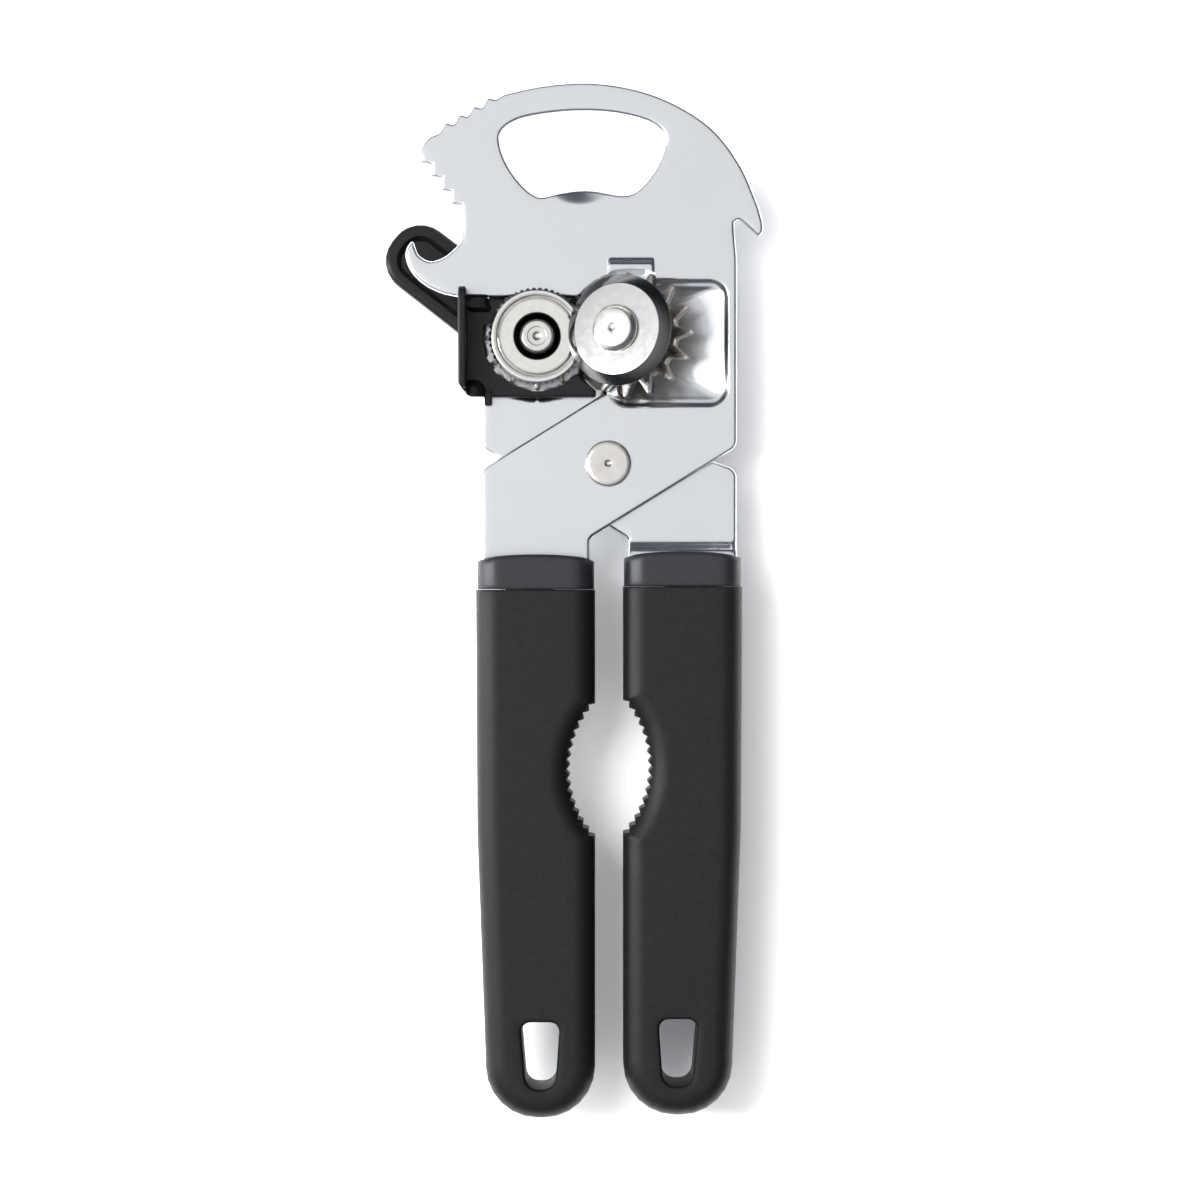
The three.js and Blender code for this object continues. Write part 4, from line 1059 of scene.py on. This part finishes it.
class OPENER_OT_feed(bpy.types.Operator):
    """Builds the serrated feed wheel, its gear and shaft, and the washers back to the wing key"""

    bl_idname = "opener.feed"
    bl_label = "Feed wheel"

    def execute(self, context):
        look = context.scene.opener_shape
        low, high = levels("feed_wheel")
        rim = []
        for i in range(look.serrations):
            for share, depth in ((0.0, 0.5), (0.06, 0.45), (0.35, 0.04), (0.5, 0.0), (0.65, 0.04),
                                 (0.94, 0.45)):
                turn = 2 * math.pi * (i + share) / look.serrations
                rim.append(((9.44 - depth) * math.cos(turn), (9.44 - depth) * math.sin(turn)))

        def face(points, distance):
            r = np.hypot(points[:, 0], points[:, 1])
            groove = 0.5 * np.sin(math.pi * np.clip((r - 7.0) / 1.3, 0, 1))
            recess = 1.3 * np.clip((4.7 - r) / 1.3, 0, 1)
            crown = 0.5 * np.clip((r - 8.75) / 0.69, 0, 1)
            return high - groove - recess - crown

        rings = [circle(r, count=96) for r in (3.4, 3.9, 4.3, 4.7, 4.78, 6.92, 7.0, 7.15, 7.35, 7.65,
                                              7.95, 8.15, 8.3, 8.38, 8.72, 8.78)]
        made = contoured(
            "feed_wheel_visual", finish_of("nickel", context), np.array(rim), face,
            lambda p, d: low + edge_drop(d, 0.2), holes=[circle(SHAFT_BORE_R)], insets=(0.0, 0.12),
            pitch=1.0, rows=rings, place=FEED_PLACE, sharp=34,
        )
        hand_over(radii(made, FEED_PLACE), "crank", "nickel", "feed_wheel")
        gear(context, "feed_gear", "crank", FEED_TEETH, 8.747, 0.0, (-2.5, -0.3), FEED_PLACE)
        low, high = levels("feed_shaft")
        shaft = [
            (0, low), (2.6, low, 0.3), (2.6, 3.6), (3.2, 3.6, 0.05), (3.2, 4.15, 0.15),
            (2.85, high, 0.25), (1.9, high, 0.1), (1.75, high - 0.12, 0.08), (0.9, high - 0.12, 0.1),
            (0.4, high - 0.45, 0.15), (0, high - 0.5),
        ]
        lathe("feed_shaft_visual", "rivet_steel", context, shaft, "crank", "feed_shaft", FEED_PLACE)
        low, high = levels("feed_spacer")
        lathe("feed_spacer_visual", "nickel", context, washer_profile(SHAFT_BORE_R, 4.4, low, high),
              "crank", "feed_spacer", FEED_PLACE)
        low, high = levels("wave_washer")
        lathe("wave_washer_visual", "nickel", context, washer_profile(SHAFT_BORE_R, 4.4, low, high, 0.08),
              "crank", "wave_washer", FEED_PLACE)
        low, high = levels("crank_spacer")
        lathe("crank_spacer_visual", "nickel", context, washer_profile(SHAFT_BORE_R, 5.0, low, high, 0.15),
              "crank", "crank_spacer", FEED_PLACE)
        low, high = levels("feed_bush")
        bush = [(2.8, low), (6.0, low, 0.2), (6.0, -5.2, 0.1), (4.4, -5.2), (4.4, high, 0.2),
                (2.8, high)]
        lathe("feed_bush_visual", "nickel", context, bush, "back_lever", "feed_bush", FEED_PLACE)
        return {"FINISHED"}


KEY_TURN = math.radians(142)


def wing_outline(margin, hub_r):
    """Both wings of the key with the hub between them; a margin shrinks the wings."""
    low, high = -5.1 + margin, 8.5 - margin
    tip, soft = 34.8 - margin, 6.2 - margin
    a = math.asin(min(1.0, -low / hub_r))
    half = []
    start, end = math.atan2(low, hub_r * math.cos(a)), math.atan2(high, math.sqrt(hub_r**2 - high**2))
    wing = rounded([(math.cos(start) * hub_r, low), (tip, low, soft), (tip, high, soft),
                    (math.cos(end) * hub_r, high)])
    half.extend(wing)
    stop = math.pi + start
    for k in range(1, 6):
        turn = end + (stop - end) * k / 6
        half.append(np.array([hub_r * math.cos(turn), hub_r * math.sin(turn)]))
    half = np.array(half)
    return np.r_[half, -half]


def spun(loop, turn):
    c, s = math.cos(turn), math.sin(turn)
    return loop @ np.array([[c, s], [-s, c]])


class OPENER_OT_key(bpy.types.Operator):
    """Builds the wing key with raised rims, its metal insert and the cap over the shaft"""

    bl_idname = "opener.key"
    bl_label = "Wing key"

    def execute(self, context):
        low, high = levels("crank_key")
        outer = spun(wing_outline(0.0, 9.5), KEY_TURN)
        pans = []
        for flip in (0, math.pi):
            pan = rounded([(11.5, -2.7, 1.2), (32.4, -2.7, 3.8), (32.4, 6.1, 3.8), (11.5, 6.1, 1.2)])
            pans.append(spun(pan, KEY_TURN + flip))

        def hub(points):
            return step((10.6 - np.hypot(points[:, 0], points[:, 1])) / 1.2)

        def face(points, distance):
            deepest = np.max([inner_distance(points, pan) for pan in pans], axis=0)
            pan = 1.5 * step((deepest + 0.15) / 0.9)
            return high - 0.5 + 0.5 * hub(points) - pan - edge_drop(distance, 1.0)

        def rear(points, distance):
            deepest = np.max([inner_distance(points, pan) for pan in pans], axis=0)
            flat = low + 1.2 * (1 - hub(points))
            return flat + 0.5 * step(deepest / 2.5) * (1 - hub(points)) + edge_drop(distance, 1.0)

        rows = [inset(evenly(pan, 0.7), d) for pan in pans for d in (-0.15, 0.1, 0.3, 0.5, 0.75)]
        rows += [circle(r, count=72) for r in (9.4, 9.7, 10.0, 10.3, 10.6)]
        made = contoured(
            "crank_key_visual", finish_of("guide_plastic", context), outer, face, rear,
            holes=[circle(SHAFT_BORE_R, count=40)], insets=edge_steps(1.0, 4), pitch=1.2, rows=rows,
            place=FEED_PLACE, sharp=40,
        )
        metal = finish_of("nickel", context)
        cut(made, turned("cap_tool", metal, [(0, low - 1), (7.2, low - 1), (7.2, low + 1.4),
                                             (5.2, low + 1.4), (5.2, low + 5), (0, low + 5)],
                         FEED_PLACE, 64))
        finish_edges(made, 40)
        hand_over(made, "crank", "guide_plastic", "crank_key")
        low, high = levels("crank_insert")
        lathe("crank_insert_visual", "nickel", context, washer_profile(SHAFT_BORE_R, 5.0, low, high, 0.15),
              "crank", "crank_insert", FEED_PLACE)
        low, high = levels("crank_cap")
        made = turned("crank_cap_visual", finish_of("collar_plastic", context),
                      [(0, high), (0, low + 0.3), (4.9, low + 0.3, 0.2), (5.2, low, 0.2),
                       (7.0, low, 0.4), (7.0, high)][::-1], FEED_PLACE)
        hand_over(made, "crank", "collar_plastic", "crank_cap")
        return {"FINISHED"}


def finish_edges(made, angle):
    made.data.shade_smooth()
    made.data.set_sharp_from_angle(angle=math.radians(angle))


class OPENER_OT_guide(bpy.types.Operator):
    """Builds the black rim guide: a base under the feed wheel, a tall wall and a domed boss"""

    bl_idname = "opener.guide"
    bl_label = "Rim guide"

    def execute(self, context):
        plastic = finish_of("guide_plastic", context)
        low, high = levels("rim_guide")
        wall_x = LEFT_EDGE - 4.2
        low_y = 12.9
        top_y = HEAD_LOW_Y - 0.3
        base = 2.0
        boss = (wall_x + 2.6, low_y + 0.9)
        outer = rounded([
            (wall_x, top_y + 1.9, 0.5), (wall_x, low_y + 2.3, 1.2), (wall_x + 1.7, low_y, 1.6),
            (wall_x + 4.8, low_y, 0.2), (wall_x + 4.8, low_y - 1.6, 0.4),
            (wall_x + 6.3, low_y - 1.6, 0.4), (wall_x + 6.3, low_y, 0.2), (-2.4, low_y, 0.6),
            (-2.4, top_y, 0.4), (wall_x + 1.5, top_y), (wall_x + 1.5, top_y + 1.9, 0.5),
        ])
        spacer = circle(4.7, (FEED.x, FEED.y))

        def face(points, distance):
            x, y = points[:, 0], points[:, 1]
            z = base - 0.45 * edge_drop(np.maximum(distance, 0), 0.5) / 0.5
            dome = 1.0 - (np.hypot(x - boss[0], y - boss[1]) / 2.5) ** 2
            z = np.maximum(z, np.where(dome > 0, base - 0.4 + 2.0 * np.sqrt(np.maximum(dome, 0)), -9))
            peg = (x > wall_x + 4.9) & (x < wall_x + 6.3) & (y < low_y + 1.0)
            z = np.where(peg, base - 0.5 - 0.5 * edge_drop(distance, 0.4), z)
            post = np.minimum(x - wall_x, wall_x + 1.5 - x)
            ends = np.minimum(top_y + 1.9 - y, (y - low_y - 0.2) * 1.0)
            tall = (post > -0.01) & (ends > -0.01)
            top = high - edge_drop(np.maximum(post, 0), 0.35) - edge_drop(np.maximum(ends, 0), 1.6)
            z = np.where(tall, np.maximum(z, top), z)
            gusset = (x > wall_x + 1.5) & (x - wall_x < 5.7) & (y > top_y - 2)
            return np.where(gusset, np.maximum(z, base + 2.2 - 0.6 * step((x - wall_x - 3.5) / 2.2)), z)

        steps_x = [wall_x + d for d in (0.1, 0.2, 0.36, 0.75, 1.14, 1.3, 1.4, 1.5, 1.56)]
        rows = [np.array([(x, y) for y in np.arange(low_y, top_y + 2, 0.5)]) for x in steps_x]
        rows += [circle(r, boss, 32) for r in (0.6, 1.1, 1.6, 2.0, 2.25, 2.42, 2.52)]
        made = contoured("rim_guide_visual", plastic, outer, face,
                         lambda p, d: np.full(len(p), low), holes=[spacer],
                         insets=(0.0, 0.06, 0.2, 0.5), pitch=0.9, rows=rows, sharp=40)
        cut(made, gear_tool(0.9, OPENING_TURNS))
        arcs = []
        for r, way in ((10.6, -1), (8.04, 1)):
            open_turn = math.asin(2.5 / r)
            turns = np.linspace(open_turn, -math.pi - open_turn, 64)[::-way]
            arcs.append(np.c_[FEED.x + r * np.cos(turns), FEED.y + r * np.sin(turns)])
        cut(made, contoured("pocket_tool", plastic, np.concatenate(arcs),
                            lambda p, d: np.full(len(p), 3.2), lambda p, d: np.full(len(p), -1.0),
                            pitch=4.0))
        finish_edges(made, 40)
        hand_over(made, "back_lever", "guide_plastic", "rim_guide")
        for node in ("guide_pin_1", "guide_pin_2"):
            low_corner, high_corner = (local(corner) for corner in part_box(node))
            centre = (low_corner + high_corner) / 2
            r = (high_corner.x - low_corner.x) / 2
            place = Matrix.Translation((centre.x, centre.y, 0))
            profile = [(0, low_corner.z), (r, low_corner.z, 0.15), (r, high_corner.z, 0.15),
                       (0, high_corner.z)]
            lathe(f"{node}_visual", "nickel", context, profile, "back_lever", node, place, 32)
        return {"FINISHED"}


# ------------------------------------------------------------------ stage


def soft_light(name, size, power, where, target, colour):
    light = bpy.data.lights.new(name, "AREA")
    light.shape = "RECTANGLE"
    light.size, light.size_y = size
    light.energy = power
    light.color = colour
    made = bpy.data.objects.new(name, light)
    made.location = where
    made.rotation_euler = (Vector(target) - Vector(where)).to_track_quat("-Z", "Y").to_euler()
    bpy.context.scene.collection.objects.link(made)
    return made


def studio_sky():
    """A photo tent: bright overhead and to the left, dark slate towards the other horizons."""
    world = bpy.data.worlds.new("tent")
    bpy.context.scene.world = world
    world.use_nodes = True
    tree = world.node_tree
    tree.nodes.clear()
    direction = add_node(tree, "ShaderNodeTexCoord").outputs["Generated"]
    parts = add_node(tree, "ShaderNodeSeparateXYZ", {"Vector": direction})
    opening = add_node(tree, "ShaderNodeVectorMath", {0: direction, 1: (-0.3, 0.0, 1.0)},
                       operation="DOT_PRODUCT").outputs["Value"]
    height = add_node(tree, "ShaderNodeMapRange",
                      {"Value": opening, "From Min": 0.45, "From Max": 0.9},
                      interpolation_type="SMOOTHSTEP").outputs[0]
    north = add_node(tree, "ShaderNodeMapRange",
                     {"Value": parts.outputs["Y"], "From Min": -0.3, "From Max": 0.75},
                     interpolation_type="SMOOTHSTEP").outputs[0]
    low = tinted(tree, north, srgb("4c565f"), srgb("36424e"))
    sky = tinted(tree, height, low, srgb("fdfdff"))
    background = add_node(tree, "ShaderNodeBackground", {"Color": sky, "Strength": 0.98})
    add_node(tree, "ShaderNodeOutputWorld", {"Surface": background.outputs[0]})


def floor_sheet(colour):
    """A wide sheet of card whose far rim curls up gently."""
    mesh = bmesh.new()
    half, count = 3.0, 24
    rows = []
    for j in range(count + 1):
        row = []
        for i in range(count + 1):
            x, y = (2 * i / count - 1) * half, (2 * j / count - 1) * half
            row.append(mesh.verts.new((x, y, 0.02 * max(0.0, math.hypot(x, y) / half - 0.8) ** 2)))
        rows.append(row)
    for a, b in zip(rows, rows[1:]):
        for i in range(count):
            mesh.faces.new((a[i], a[i + 1], b[i + 1], b[i]))
    data = bpy.data.meshes.new("card")
    mesh.to_mesh(data)
    mesh.free()
    material, tree, surface = new_material("matt_white_card")
    base = tuple(colour) + (1.0,)
    faint = tuple(c * 0.985 for c in colour) + (1.0,)
    tree.links.new(tinted(tree, spread(tree, grain(tree, 30.0), 0, 1), faint, base),
                   surface.inputs["Base Color"])
    surface.inputs["Roughness"].default_value = 0.85
    data.materials.append(material)
    data.shade_smooth()
    card = bpy.data.objects.new("card", data)
    bpy.context.scene.collection.objects.link(card)
    return card


class OPENER_OT_stage(bpy.types.Operator):
    """Sets the card, the tent light and the camera that looks straight down on the opener"""

    bl_idname = "opener.stage"
    bl_label = "Stage"

    def execute(self, context):
        settings = context.scene.opener_stage
        floor_sheet(settings.floor_colour)
        studio_sky()
        target = PIVOT + Vector((0, -26.5, 0)) * MM
        key = soft_light("tent_left", (0.4, 0.6), settings.key_power,
                         target + Vector((-0.42, 0.22, 0.68)), target, (1.0, 1.0, 1.0))
        key.visible_glossy = False  # the metal shows the tent, not the lamps behind its cloth
        top = soft_light("tent_top", (0.9, 0.9), settings.top_power,
                         target + Vector((0.0, 0.0, 0.9)), target, (1.0, 1.0, 1.0))
        top.visible_glossy = False
        soft_light("edge_strip", (0.08, 0.7), 4.0, target + Vector((-0.5, 0.0, 0.32)), target,
                   (0.95, 0.98, 1.0))
        camera = bpy.data.cameras.new("overhead")
        camera.lens = 108.2
        camera.sensor_width = 36.0
        made = bpy.data.objects.new("overhead", camera)
        made.location = PIVOT + Vector((-1.6, -26.5, 2.0)) * MM
        made.location.z += settings.camera_distance
        context.scene.collection.objects.link(made)
        context.scene.camera = made
        context.scene.view_settings.view_transform = "Standard"
        return {"FINISHED"}


# ------------------------------------------------------------------ the add-on

OPERATORS = (
    OPENER_OT_front_plate, OPENER_OT_back_plate, OPENER_OT_handles, OPENER_OT_pivot,
    OPENER_OT_cutter, OPENER_OT_feed, OPENER_OT_guide, OPENER_OT_key, OPENER_OT_stage,
)
GROUPS = {
    "opener_colours": OpenerColours,
    "opener_shape": OpenerShape,
    "opener_stage": OpenerStage,
}


class OPENER_PT_panel(bpy.types.Panel):
    """Lists the opener's settings and the steps that build it"""

    bl_label = "Can opener"
    bl_idname = "OPENER_PT_panel"
    bl_space_type = "VIEW_3D"
    bl_region_type = "UI"
    bl_category = "Opener"

    def draw(self, context):
        for name, group in GROUPS.items():
            box = self.layout.box()
            for field in group.__annotations__:
                box.prop(getattr(context.scene, name), field)
        for operator in OPERATORS:
            self.layout.operator(operator.bl_idname)


def register():
    for group in GROUPS.values():
        bpy.utils.register_class(group)
    for operator in (*OPERATORS, OPENER_PT_panel):
        bpy.utils.register_class(operator)
    for name, group in GROUPS.items():
        setattr(bpy.types.Scene, name, PointerProperty(type=group))


def unregister():
    for name in GROUPS:
        delattr(bpy.types.Scene, name)
    for item in reversed((*GROUPS.values(), *OPERATORS, OPENER_PT_panel)):
        bpy.utils.unregister_class(item)


def main():
    register()
    for operator in OPERATORS:
        family, name = operator.bl_idname.split(".")
        getattr(getattr(bpy.ops, family), name)()


if __name__ == "__main__":
    main()
